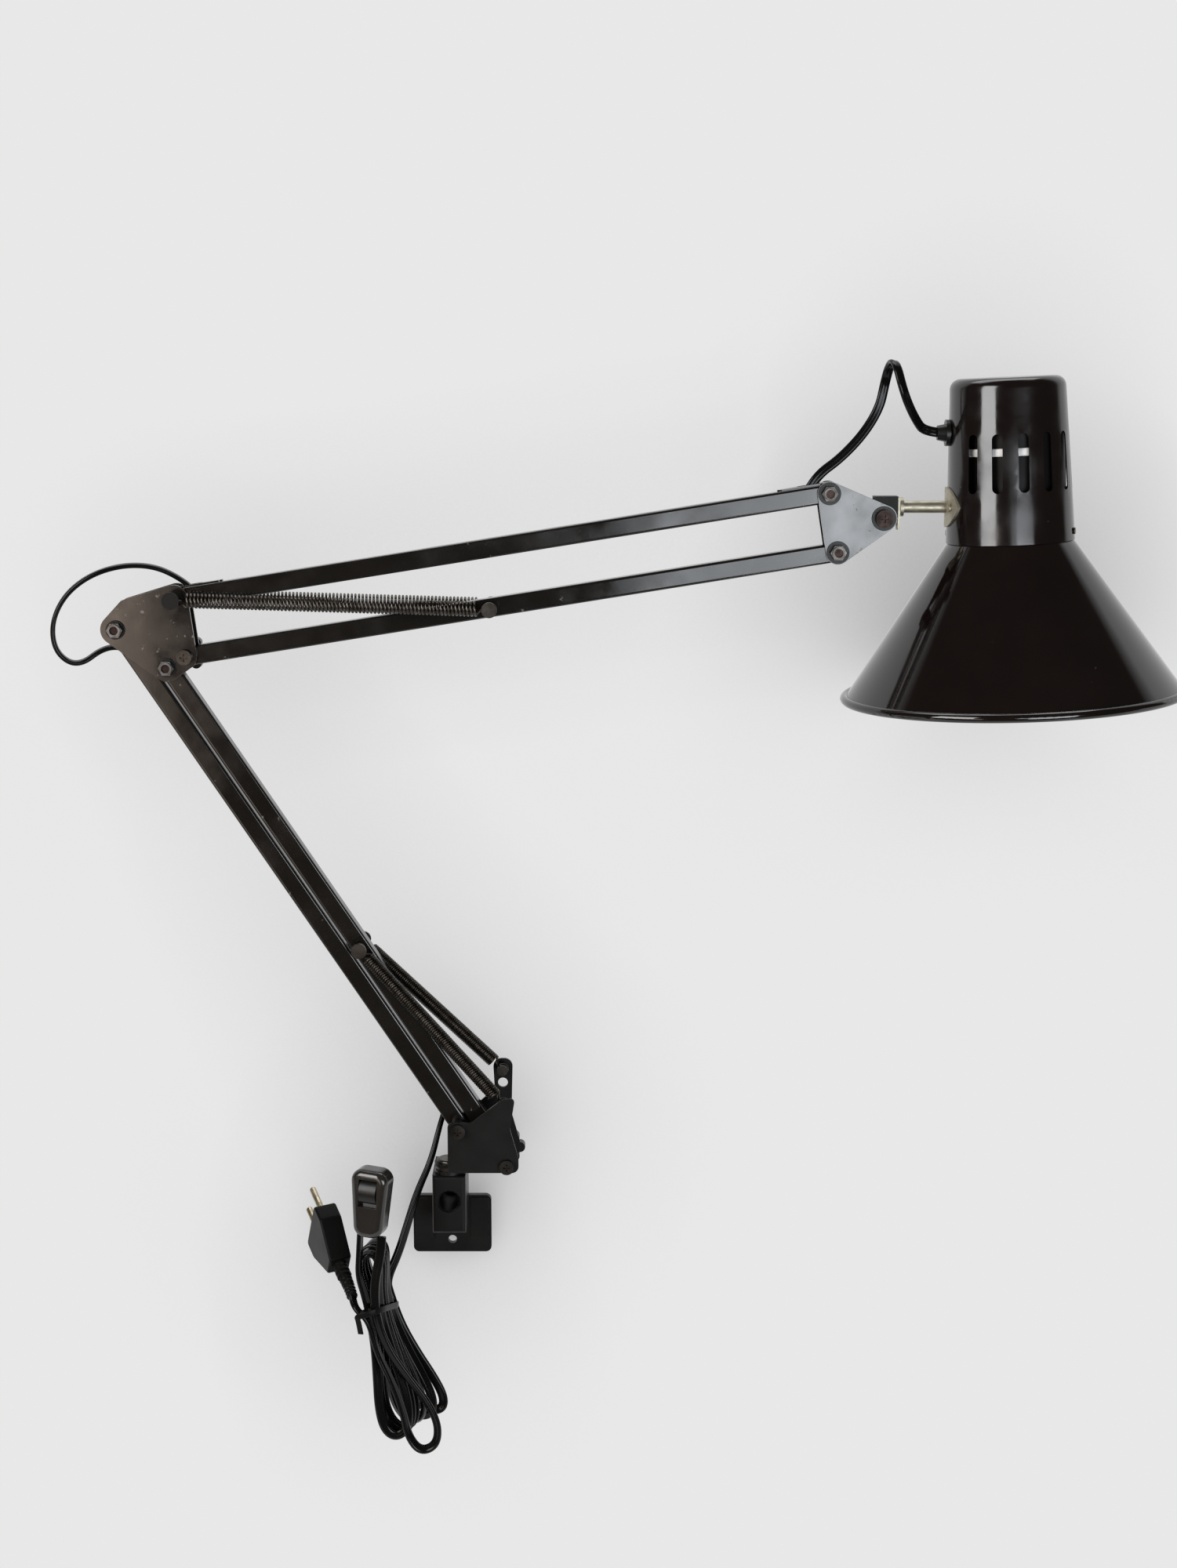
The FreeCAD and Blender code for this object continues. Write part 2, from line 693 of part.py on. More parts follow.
# Arm tubes
def arm_tube(start, aim, length, holes, slots):
    """A tube with rounded ends, pivot holes (distance, radius) and cord slots in its outer side."""
    half = BAR / 2
    deep = BAR_DEPTH / 2
    outer = box(V(-deep, -half, -deep), V(length + deep, half, deep))
    long_edges = [e for e in outer.Edges if e.BoundBox.XLength > length]
    outer = outer.makeFillet(BAR_CORNER_R, long_edges)
    inner_half = half - BAR_WALL
    inner_deep = deep - BAR_WALL
    inner = box(V(-BAR, -inner_half, -inner_deep), V(length + BAR, inner_half, inner_deep))
    ends = slab(belt([(V(0, 0, 0), deep), (V(length, 0, 0), deep)]), -half, half)
    tube = outer.common(ends).cut(inner)
    for distance, r in holes:
        tube = tube.cut(rod(V(distance, -BAR, 0), V(distance, BAR, 0), r))
    for distance in slots:
        tube = tube.cut(cord_slot(distance))
    return placed_on(tube, start, aim)


def cord_slot(distance):
    """The cutter for a round-ended slot in a tube's outer side."""
    reach = (SLOT_CUT_LENGTH - SLOT_CUT_WIDTH) / 2
    r = SLOT_CUT_WIDTH / 2
    cutter = box(V(distance - reach, -r, 0), V(distance + reach, r, BAR))
    for end in (distance - reach, distance + reach):
        cutter = cutter.fuse(rod(V(end, 0, 0), V(end, 0, BAR), r))
    return cutter


def placed_on(shape, start, aim):
    """Puts a form that was made along X at a start point, along an aim in the arms' plane."""
    turn = FreeCAD.Rotation(V(0, 1, 0), -math.degrees(math.atan2(aim.z, aim.x)))
    shape.Placement = FreeCAD.Placement(start, turn).multiply(shape.Placement)
    return shape


SLOT_NEAR = EXIT_SETBACK - 4.0
PIVOT_HOLE = PIVOT_R + RUN_CLEAR
OPEN_HOLE = PIVOT_R + OPEN_PIVOT_CLEAR


def lower_left_bar():
    holes = [(0, PIVOT_HOLE), (LOWER_LENGTH, PIVOT_HOLE)]
    slots = [SLOT_NEAR, LOWER_LENGTH - SLOT_NEAR]
    return arm_tube(BASE_LEFT, LOWER_AIM, LOWER_LENGTH, holes, slots)


def lower_right_bar():
    holes = [(0, PIVOT_HOLE), (LOWER_POST, POST_R), (LOWER_LENGTH, OPEN_HOLE)]
    return arm_tube(BASE_RIGHT, LOWER_AIM, LOWER_LENGTH, holes, [])


def upper_top_bar():
    holes = [(0, PIVOT_HOLE), (UPPER_LENGTH, PIVOT_HOLE)]
    slots = [SLOT_NEAR, UPPER_LENGTH - SLOT_NEAR]
    return arm_tube(ELBOW_TOP, UPPER_AIM, UPPER_LENGTH, holes, slots)


def upper_bottom_bar():
    holes = [(0, PIVOT_HOLE), (UPPER_POST, POST_R), (UPPER_LENGTH, OPEN_HOLE)]
    return arm_tube(ELBOW_RIGHT, UPPER_AIM, UPPER_LENGTH, holes, [])


def headed_post(point, end, head_r):
    """A cross pin through a tube with a flat head at both ends."""
    post = across(point, -end, end, POST_R)
    for side in (-1, 1):
        post = post.fuse(across(point, side * end, side * (end + PIN_HEAD), head_r))
    return post


def cord_clip(centre):
    """A strip on the top tube that the cord comes up through."""
    half = CLIP_LENGTH / 2
    seat = BAR_DEPTH / 2
    strip = box(V(centre - half, -CLIP_WIDTH / 2, seat), V(centre + half, CLIP_WIDTH / 2, seat + CLIP_THICK))
    upright = [e for e in strip.Edges if e.BoundBox.ZLength > CLIP_THICK / 2]
    strip = strip.makeFillet(CLIP_WIDTH * 0.35, upright)
    slot = SLOT_NEAR if centre < UPPER_LENGTH / 2 else UPPER_LENGTH - SLOT_NEAR
    return placed_on(strip.cut(cord_slot(slot)), ELBOW_TOP, UPPER_AIM)


# Elbow and head
def link_plate(circles, holes, side):
    y_low, y_high = sorted((side * PLATE_IN, side * PLATE_OUT))
    plate = slab(belt(circles), y_low, y_high)
    for point, r in holes:
        plate = plate.cut(across(point, -PLATE_OUT - 1, PLATE_OUT + 1, r))
    return plate


def elbow_plate(side):
    corner = ELBOW_LEFT + V(ELBOW_CORNER_X, 0, ELBOW_CORNER_Z)
    circles = [
        (ELBOW_LOW, ELBOW_LOW_EDGE_R),
        (ELBOW_RIGHT, ELBOW_RIGHT_EDGE_R),
        (ELBOW_TOP, ELBOW_TOP_EDGE_R),
        (corner, ELBOW_CORNER_R),
        (ELBOW_LEFT, ELBOW_LEFT_EDGE_R),
    ]
    holes = [(point, PIVOT_R) for point in (ELBOW_LOW, ELBOW_RIGHT, ELBOW_TOP, ELBOW_LEFT)]
    return link_plate(circles, holes, side)


def head_plate(side):
    circles = [(HEAD_LOW, HEAD_EDGE), (TILT, HEAD_EDGE_TILT), (HEAD_TOP, HEAD_EDGE)]
    holes = [(HEAD_LOW, PIVOT_R), (HEAD_TOP, PIVOT_R), (TILT, TILT_SCREW_R)]
    return link_plate(circles, holes, side)


def link_bolts(points):
    """Bolts with their heads at the back and their ends sunk in the nuts in front."""
    bolts = []
    for point in points:
        shaft = across(point, -NUT_SEAT - NUT + BOLT_SUNK, NUT_SEAT, PIVOT_R)
        bolts.append(shaft.fuse(across(point, NUT_SEAT, NUT_SEAT + BOLT_HEAD, BOLT_HEAD_R)))
    return Part.makeCompound(bolts)


def link_nuts(points):
    nuts = []
    for point in points:
        hole = across(point, -NUT_SEAT - 2 * NUT, NUT_SEAT, PIVOT_R)
        nuts.append(hex_nut(point, NUT_SEAT, -1).cut(hole))
    return Part.makeCompound(nuts)


def link_washers(sizes):
    """Front and rear washers (point, outer radius, hole radius)."""
    washers = []
    for point, r, hole_r in sizes:
        for side in (-1, 1):
            washer = across(point, side * PLATE_OUT, side * NUT_SEAT, r)
            washers.append(washer.cut(across(point, -NUT_SEAT, NUT_SEAT, hole_r)))
    return Part.makeCompound(washers)


ELBOW_KNOB_HUB = WASHER + BOLT_HEAD + 1.0


def elbow_screw():
    end = PLATE_OUT + FACE_CLEAR + ELBOW_KNOB_HUB + KNOB_THICK
    shaft = across(ELBOW_RIGHT, -PLATE_OUT, end, PIVOT_R)
    screw = shaft.fuse(across(ELBOW_RIGHT, -PLATE_OUT - BOLT_HEAD, -PLATE_OUT, BOLT_HEAD_R))
    return screw.cut(cross_recess(ELBOW_RIGHT, -PLATE_OUT - BOLT_HEAD))


def spring_pin():
    """The elbow's top pivot, long enough to hold both upper springs."""
    pin = across(ELBOW_TOP, -UPPER_PIN_END, UPPER_PIN_END, PIVOT_R)
    for side in (-1, 1):
        head = across(ELBOW_TOP, side * UPPER_PIN_END, side * (UPPER_PIN_END + PIN_HEAD), SPRING_PIN_HEAD_R)
        pin = pin.fuse(head)
    return pin


def tilt_screw():
    screw = across(TILT, -NUT_SEAT, NUT_SEAT, TILT_SCREW_R)
    screw = screw.fuse(across(TILT, -NUT_SEAT - BOLT_HEAD, -NUT_SEAT, TILT_HEAD_R))
    screw = screw.cut(cross_recess(TILT, -NUT_SEAT - BOLT_HEAD))
    return screw.fuse(hex_nut(TILT, NUT_SEAT, 1))


def pivot_block():
    """The block that tilts between the head plates and holds the stem's end."""
    half = V(0, PLATE_IN - BLOCK_CLEAR, 0)
    low = TILT - half - V(BLOCK_LEFT, 0, 0)
    high = TILT + half + V(BLOCK_RIGHT, 0, STEM_RISE + BLOCK_ABOVE)
    block = box(low, high).fuse(across(TILT, -half.y, half.y, BLOCK_R))
    bore_start = STEM - V(BLOCK_LEFT - STEM_FLOOR, 0, 0)
    block = block.cut(rod(bore_start, STEM + V(BLOCK_RIGHT + 1, 0, 0), STEM_R + RUN_CLEAR))
    return block.cut(across(TILT, -BAR, BAR, TILT_SCREW_R + RUN_CLEAR)).removeSplitter()


def stem_fork():
    """The bright strip on the block's face that the stem passes through."""
    low = STEM + V(BLOCK_RIGHT, -FORK_HALF_WIDTH, -FORK_DROP)
    high = STEM + V(BLOCK_RIGHT + FORK_THICK, FORK_HALF_WIDTH, FORK_ABOVE)
    strip = box(low, high)
    return strip.cut(rod(STEM, STEM + V(STEM_REACH, 0, 0), STEM_R + RUN_CLEAR))


# Shade, made upright on its rim and then leaned so that the stem is square to the cap's side
CAP_DRAFT = math.degrees(math.atan((CAP_BOTTOM_R - CAP_TOP_R) / CAP_HEIGHT))
SHADE_TOP = CONE_HEIGHT + CAP_HEIGHT
SADDLE_HEIGHT = CONE_HEIGHT + SADDLE_ABOVE_CONE
SLOT_BOTTOM = CONE_HEIGHT + SLOT_ABOVE_CONE
GLAND_HEIGHT = CONE_HEIGHT + GLAND_ABOVE_CONE


def cap_r(height):
    """The cap's outer radius at a height above the rim."""
    return CAP_BOTTOM_R - (height - CONE_HEIGHT) * (CAP_BOTTOM_R - CAP_TOP_R) / CAP_HEIGHT


def around(angle):
    """A level direction from the shade's axis: 0 is the front and 90 the side away from the stem."""
    return V(math.sin(math.radians(angle)), -math.cos(math.radians(angle)), 0)


SHADE_TURN = FreeCAD.Rotation(V(0, 1, 0), -CAP_DRAFT)
SADDLE_LOCAL = around(-90) * cap_r(SADDLE_HEIGHT) + V(0, 0, SADDLE_HEIGHT)
SHADE_PLACE = FreeCAD.Placement(SADDLE - SHADE_TURN.multVec(SADDLE_LOCAL), SHADE_TURN)
SIDE_NORMAL = around(-90) * math.cos(math.radians(CAP_DRAFT)) + V(0, 0, math.sin(math.radians(CAP_DRAFT)))
GLAND_LOCAL = around(-90) * cap_r(GLAND_HEIGHT) + V(0, 0, GLAND_HEIGHT)


def on_shade(shape):
    shape.Placement = SHADE_PLACE.multiply(shape.Placement)
    return shape


def radial_fastener(angle, height, inner, outer, r, head_sizes):
    """A headed pin that points at the shade's axis."""
    head_r, head = head_sizes
    level = V(0, 0, height)
    aim = around(angle)
    shank = rod(aim * inner + level, aim * outer + level, r)
    return shank.fuse(rod(aim * outer + level, aim * (outer + head) + level, head_r))


def saddle_rivet_places():
    return [-90 - SADDLE_RIVET_ANGLE, -90 + SADDLE_RIVET_ANGLE]


def cap_screw_places():
    return [CAP_SCREW_FIRST + 360.0 * i / CAP_SCREW_COUNT for i in range(CAP_SCREW_COUNT)]


def radial_hole(angle, height, r):
    level = V(0, 0, height)
    return rod(level + around(angle) * (CAP_TOP_R / 2), level + around(angle) * (CAP_BOTTOM_R + 10), r)


CAP_SCREW_LEVEL = CONE_HEIGHT + CAP_SCREW_HEIGHT


def fastener_holes(shape):
    for angle in saddle_rivet_places():
        shape = shape.cut(radial_hole(angle, SADDLE_HEIGHT, SADDLE_RIVET_R))
    for angle in cap_screw_places():
        shape = shape.cut(radial_hole(angle, CAP_SCREW_LEVEL, CAP_SCREW_R))
    return shape


def shade_cap():
    base = V(0, 0, CONE_HEIGHT)
    outer = Part.makeCone(CAP_BOTTOM_R, CAP_TOP_R, CAP_HEIGHT, base)
    outer = outer.makeFillet(CAP_ROUND, flat_edges(outer, SHADE_TOP))
    inner_height = CAP_HEIGHT - SHADE_WALL
    inner_top = cap_r(SHADE_TOP - SHADE_WALL) - SHADE_WALL
    inner = Part.makeCone(CAP_BOTTOM_R - SHADE_WALL, inner_top, inner_height, base)
    inner = inner.makeFillet(CAP_ROUND - SHADE_WALL, flat_edges(inner, SHADE_TOP - SHADE_WALL))
    cap = outer.cut(inner)
    r = SLOT_WIDTH / 2
    low = SLOT_BOTTOM + r
    high = SLOT_BOTTOM + SLOT_LENGTH - r
    cutter = box(V(-r, -2 * CAP_BOTTOM_R, low), V(r, -CAP_TOP_R / 2, high))
    for z in (low, high):
        cutter = cutter.fuse(rod(V(0, -2 * CAP_BOTTOM_R, z), V(0, -CAP_TOP_R / 2, z), r))
    first = 90 - SLOT_STEP * (SLOT_COUNT - 1) / 2
    for i in range(SLOT_COUNT):
        slot = cutter.copy()
        slot.rotate(V(0, 0, 0), V(0, 0, 1), first + SLOT_STEP * i)
        cap = cap.cut(slot)
    cap = cap.cut(rod(GLAND_LOCAL - SIDE_NORMAL * 2 * GLAND_R, GLAND_LOCAL + SIDE_NORMAL * GLAND_R, GLAND_R))
    return on_shade(fastener_holes(cap))


def shade_cone():
    """The flared skirt, with a neck inside the cap and a rolled bead round the rim."""
    neck_top = CONE_HEIGHT + NECK_HEIGHT
    bead_r = RIM_R - RIM_BEAD_R
    low_outer = cap_r(CONE_HEIGHT) - SHADE_WALL - FIT_CLEAR
    high_outer = cap_r(neck_top) - SHADE_WALL - FIT_CLEAR
    profile = [
        V(high_outer, 0, neck_top),
        V(low_outer, 0, CONE_HEIGHT),
        V(bead_r, 0, RIM_BEAD_R),
        V(bead_r - SHADE_WALL * 1.4, 0, RIM_BEAD_R),
        V(low_outer - SHADE_WALL, 0, CONE_HEIGHT - SHADE_WALL / 2),
        V(high_outer - SHADE_WALL, 0, neck_top),
    ]
    face = Part.Face(Part.makePolygon(profile + profile[:1]))
    cone = face.revolve(V(0, 0, 0), V(0, 0, 1), 360)
    cone = cone.fuse(Part.makeTorus(bead_r, RIM_BEAD_R, V(0, 0, RIM_BEAD_R)))
    return on_shade(fastener_holes(cone))


def cap_screws():
    screws = []
    inner = cap_r(CAP_SCREW_LEVEL) - 2 * SHADE_WALL - CAP_SCREW_END
    outer = cap_r(CAP_SCREW_LEVEL) + CAP_SCREW_HEAD_R * math.tan(math.radians(CAP_DRAFT))
    for angle in cap_screw_places():
        head = (CAP_SCREW_HEAD_R, CAP_SCREW_HEAD)
        screw = radial_fastener(angle, CAP_SCREW_LEVEL, inner, outer, CAP_SCREW_R, head)
        screws.append(on_shade(screw))
    return Part.makeCompound(screws)


def stem_saddle():
    """A lens-shaped plate bent round the cap's side."""
    low = SADDLE_HEIGHT - SADDLE_HALF_HEIGHT
    high = SADDLE_HEIGHT + SADDLE_HALF_HEIGHT
    base = V(0, 0, low)
    outer = Part.makeCone(cap_r(low) + SADDLE_THICK, cap_r(high) + SADDLE_THICK, high - low, base)
    inner = Part.makeCone(cap_r(low) + FIT_CLEAR, cap_r(high) + FIT_CLEAR, high - low, base)
    shell = outer.cut(inner)
    tips = [V(0, side * SADDLE_HALF_WIDTH, SADDLE_HEIGHT) for side in (-1, 1)]
    arcs = [Part.Arc(tips[0], V(0, 0, z), tips[1]).toShape() for z in (low, high)]
    lens = Part.Face(Part.Wire(arcs)).extrude(around(-90) * (2 * CAP_BOTTOM_R))
    saddle = shell.common(lens)
    for angle in saddle_rivet_places():
        saddle = saddle.cut(radial_hole(angle, SADDLE_HEIGHT, SADDLE_RIVET_R))
    return on_shade(saddle)


def saddle_rivets():
    rivets = []
    inner = cap_r(SADDLE_HEIGHT) - SHADE_WALL - 1.0
    slope = SADDLE_RIVET_HEAD_R * math.tan(math.radians(CAP_DRAFT))
    outer = cap_r(SADDLE_HEIGHT) + SADDLE_THICK + slope
    for angle in saddle_rivet_places():
        head = (SADDLE_RIVET_HEAD_R, SADDLE_RIVET_HEAD)
        rivet = radial_fastener(angle, SADDLE_HEIGHT, inner, outer, SADDLE_RIVET_R, head)
        rivets.append(on_shade(rivet))
    return Part.makeCompound(rivets)


def shade_stem():
    """The rod from the block to the saddle, with its collar against the strip."""
    rod_start = STEM - V(BLOCK_LEFT - STEM_FLOOR - STEM_END_CLEAR, 0, 0)
    stem = rod(rod_start, SADDLE - V(SADDLE_THICK, 0, 0), STEM_R)
    seat = STEM + V(BLOCK_RIGHT + FORK_THICK + FACE_CLEAR, 0, 0)
    return stem.fuse(rod(seat, seat + V(STEM_COLLAR, 0, 0), STEM_COLLAR_R))


def cord_gland():
    tip = GLAND_LOCAL + SIDE_NORMAL * GLAND_LENGTH
    tail = GLAND_LOCAL - SIDE_NORMAL * GLAND_INSIDE
    seat = GLAND_LOCAL + SIDE_NORMAL * FIT_CLEAR
    gland = rod(tail, GLAND_LOCAL, GLAND_R).fuse(cone_rod(GLAND_LOCAL, tip, GLAND_R, GLAND_R * 0.75))
    gland = gland.fuse(rod(seat, seat + SIDE_NORMAL * GLAND_FLANGE, GLAND_FLANGE_R))
    return on_shade(gland.cut(rod(tail - SIDE_NORMAL, tip + SIDE_NORMAL, CORD_R)))


def lamp_holder():
    """The bulb's holder, hung from the cap's top."""
    seat = V(0, 0, SHADE_TOP - SHADE_WALL)
    mouth = seat - V(0, 0, HOLDER_LENGTH)
    holder = rod(seat - V(0, 0, HOLDER_FLANGE), seat, HOLDER_FLANGE_R)
    holder = holder.fuse(rod(mouth, seat - V(0, 0, HOLDER_FLANGE), HOLDER_R))
    return on_shade(holder.cut(rod(mouth - V(0, 0, 1), mouth + V(0, 0, HOLDER_BORE), HOLDER_BORE_R)))


# Cord routes
def exit_points(pivot, aim, side):
    """Points where the cord leaves a tube near a pivot: on the axis, at its bend, and outside."""
    bend = pivot + aim * EXIT_SETBACK
    angle = math.radians(EXIT_ANGLE)
    outside = bend + (aim * -math.cos(angle) + side * math.sin(angle)) * EXIT_RUN
    return [bend + aim * EXIT_RUN, bend, outside]


BASE_EXIT = exit_points(BASE_LEFT, LOWER_AIM, LOWER_SIDE)
ELBOW_LOWER_EXIT = exit_points(ELBOW_LEFT, LOWER_AIM * -1, LOWER_SIDE)
ELBOW_UPPER_EXIT = exit_points(ELBOW_TOP, UPPER_AIM, UPPER_SIDE)
HEAD_EXIT = exit_points(HEAD_TOP, UPPER_AIM * -1, UPPER_SIDE)
GLAND = SHADE_PLACE.multVec(GLAND_LOCAL)


def beside(place, steps):
    """Points at steps of x, z and y from a place."""
    return [place + V(x, y, z) for x, z, y in steps]


def cord_elbow_loop():
    middle = beside(ELBOW_TOP, ELBOW_LOOP_FROM_TOP) + beside(ELBOW_LEFT, ELBOW_LOOP_FROM_LEFT)
    points = ELBOW_UPPER_EXIT + middle + ELBOW_LOWER_EXIT[::-1]
    return cord(points, "cord_elbow_loop")


def cord_head_loop():
    middle = beside(HEAD_TOP, HEAD_LOOP_FROM_TOP) + beside(GLAND, HEAD_LOOP_FROM_GLAND)
    end = [GLAND - V(2 * GLAND_LENGTH, 0, 0), GLAND]
    return cord(HEAD_EXIT + middle + end, "cord_head_loop")


def hank_place(along, lateral, depth):
    """A point of the hank: along it from the tie, to its right, and in depth, where it leans to the right."""
    down = toward(-90.0 + HANK_LEAN)
    right = toward(HANK_LEAN)
    return arm(HANK_X, HANK_Z, HANK_Y + depth) + down * along + right * (lateral + depth * HANK_SHEAR)


def hank_path(turn):
    """The hank's centre line: long loops, drawn in at the tie, fanned out below, stacked to the front."""
    half = (HANK_ABOVE + HANK_BELOW) / 2
    angle = 2 * math.pi * turn
    along = half - HANK_ABOVE - half * math.cos(angle)
    spread = HANK_SPREAD_BELOW if along > 0 else HANK_SPREAD_ABOVE
    lateral = math.sin(angle) * HANK_WAIST * (1 + spread * (along / half) ** 2)
    if along > 0:
        fan = HANK_FAN_LAST + (HANK_FAN_FIRST - HANK_FAN_LAST) * (1 - turn / HANK_LOOPS) ** 2
        lateral += fan * (along / HANK_BELOW) ** 2
    else:
        lateral += HANK_SHIFT_ABOVE * (along / HANK_ABOVE) ** 2
    return hank_place(along, lateral, HANK_PITCH * (HANK_LOOPS / 2 - turn))


HANK_START = math.acos((HANK_BELOW - HANK_ABOVE) / (HANK_BELOW + HANK_ABOVE)) / (2 * math.pi)
HANK_END = HANK_LOOPS - HANK_START
HANK_STEPS_PER_TURN = 10


def hank_steps():
    count = math.ceil((HANK_END - HANK_START) * HANK_STEPS_PER_TURN)
    return [HANK_START + (HANK_END - HANK_START) * i / count for i in range(count + 1)]


def hank_run(turn, reach):
    """A point straight on from the hank's centre line."""
    aim = V(hank_path(turn + 1e-4) - hank_path(turn - 1e-4)).normalize()
    return hank_path(turn) + aim * reach


def cord_hank():
    edges, tangent = winding(hank_path, hank_steps())
    print("cord_hank least gap", round(least_gap(edges, CORD_R, 8 * CORD_R), 2))
    return sweep(edges, CORD_R, "cord_hank")


LEAD_DEPTH = HANK_PITCH * (HANK_LOOPS / 2 - HANK_END - 1.1)


def hank_tie():
    """The band round the hank's waist and the plug lead."""
    half_width = HANK_WAIST + CORD_R + TIE_CLEAR
    front = LEAD_DEPTH - CORD_R - TIE_CLEAR
    rear = HANK_PITCH * (HANK_LOOPS / 2 - HANK_START) + CORD_R + TIE_CLEAR

    def outline(grow):
        low = -half_width - grow
        high = half_width + grow
        corners = [(low, front - grow), (high, front - grow), (high, rear + grow), (low, rear + grow)]
        points = [hank_place(-TIE_HEIGHT / 2, lateral, depth) for lateral, depth in corners]
        return Part.Face(rounded([(p, TIE_CORNER_R + grow) for p in points]))

    down = toward(-90.0 + HANK_LEAN) * TIE_HEIGHT
    band = outline(TIE_THICK).extrude(down).cut(outline(0).extrude(down))
    end_start = hank_place(0, -half_width - TIE_END_R, front + TIE_CORNER_R + TIE_END_R)
    end_tip = hank_place(TIE_END, -half_width - 2 * TIE_END_R, front + TIE_CORNER_R + TIE_END_R)
    return band.fuse(rod(end_start, end_tip, TIE_END_R))


def cord_tail():
    points = BASE_EXIT + [
        arm(-10.6, 42.8, -6),
        arm(-19.0, 24.5, -10),
        arm(-24.6, 6.2, -14),
        arm(-30.0, -11.0, -18),
        hank_run(HANK_START, -9),
        hank_path(HANK_START),
    ]
    return cord(points, "cord_tail")


# Switch and plug
SWITCH_ABOUT = FreeCAD.Rotation(V(0, 0, 1), SWITCH_TURN)
SWITCH_ROTATION = FreeCAD.Rotation(V(0, 1, 0), SWITCH_LEAN).multiply(SWITCH_ABOUT)
SWITCH_PLACE = FreeCAD.Placement(arm(SWITCH_X, SWITCH_Z, SWITCH_Y), SWITCH_ROTATION)


def switch_outline(shrink):
    """The switch's outline, upright on its lower end, narrower there."""
    half = SWITCH_WIDTH / 2 - shrink
    low = shrink
    high = SWITCH_LENGTH - shrink
    corners = [
        V(-half + SWITCH_TAPER, 0, low),
        V(half - SWITCH_TAPER, 0, low),
        V(half, 0, high),
        V(-half, 0, high),
    ]
    return rounded([(c, SWITCH_CORNER_R - shrink) for c in corners])


def rocker_pocket(grow):
    """The space of the rocker, a slice of a round bar across the switch."""
    centre = V(0, -SWITCH_FRONT - ROCKER_PROUD + ROCKER_R, ROCKER_HEIGHT)
    reach = V(ROCKER_WIDTH / 2 + grow, 0, 0)
    bar = rod(centre - reach, centre + reach, ROCKER_R + grow)
    half = ROCKER_LENGTH / 2 + grow
    depth = ROCKER_R + grow
    keep = box(centre - reach - V(0, depth, half), centre + reach + V(0, -ROCKER_R / 2 + grow, half))
    return bar.common(keep)


def switch_shell_front():
    shell = slab(switch_outline(0), -SWITCH_FRONT, 0)
    rim = [e for e in shell.Edges if abs(e.BoundBox.YMax + SWITCH_FRONT) < 1e-6]
    shell = shell.makeFillet(SWITCH_EDGE_R, rim)
    centre_y = -SWITCH_FRONT - ROCKER_PROUD + ROCKER_R
    half = V(ROCKER_WIDTH / 2 + ROCKER_CLEAR, 0, ROCKER_LENGTH / 2 + 3 * ROCKER_CLEAR)
    low = V(0, -SWITCH_FRONT - 1, ROCKER_HEIGHT) - half
    high = V(0, centre_y - ROCKER_R / 2 + 2 * ROCKER_CLEAR, ROCKER_HEIGHT) + half
    shell = shell.cut(box(low, high))
    shell.Placement = SWITCH_PLACE
    return shell


def switch_shell_rear():
    shell = slab(switch_outline(0), 0, SWITCH_REAR)
    rim = [e for e in shell.Edges if abs(e.BoundBox.YMin - SWITCH_REAR) < 1e-6]
    shell = shell.makeFillet(SWITCH_EDGE_R, rim)
    shell.Placement = SWITCH_PLACE
    return shell


def switch_rocker():
    rocker = rocker_pocket(0)
    centre = V(0, -SWITCH_FRONT - ROCKER_PROUD + ROCKER_R, ROCKER_HEIGHT)
    rocker.rotate(centre, V(1, 0, 0), -ROCKER_TILT)
    rocker.Placement = SWITCH_PLACE.multiply(rocker.Placement)
    return rocker


LEAD_IN = 0.28 * SWITCH_WIDTH


def cord_switch_lead():
    entry = SWITCH_PLACE.multVec(V(-LEAD_IN, 0, 0))
    below = SWITCH_PLACE.multVec(V(-LEAD_IN, 0, -13))
    points = [
        hank_path(HANK_END),
        hank_run(HANK_END, 13),
        arm(-50.8, -12, -50.8),
        below,
        entry,
    ]
    return cord(points, "cord_switch_lead")


PLUG_AXIS = V(PLUG_AIM).normalize()
PLUG_SIDE = V(PLUG_ACROSS - PLUG_AXIS * PLUG_ACROSS.dot(PLUG_AXIS)).normalize()
PLUG_START = arm(PLUG_X, PLUG_Z, PLUG_Y)
PLUG_TURN = FreeCAD.Rotation(PLUG_SIDE, V(0, 0, 0), PLUG_AXIS, "ZXY")
PLUG_PLACE = FreeCAD.Placement(PLUG_START, PLUG_TURN)


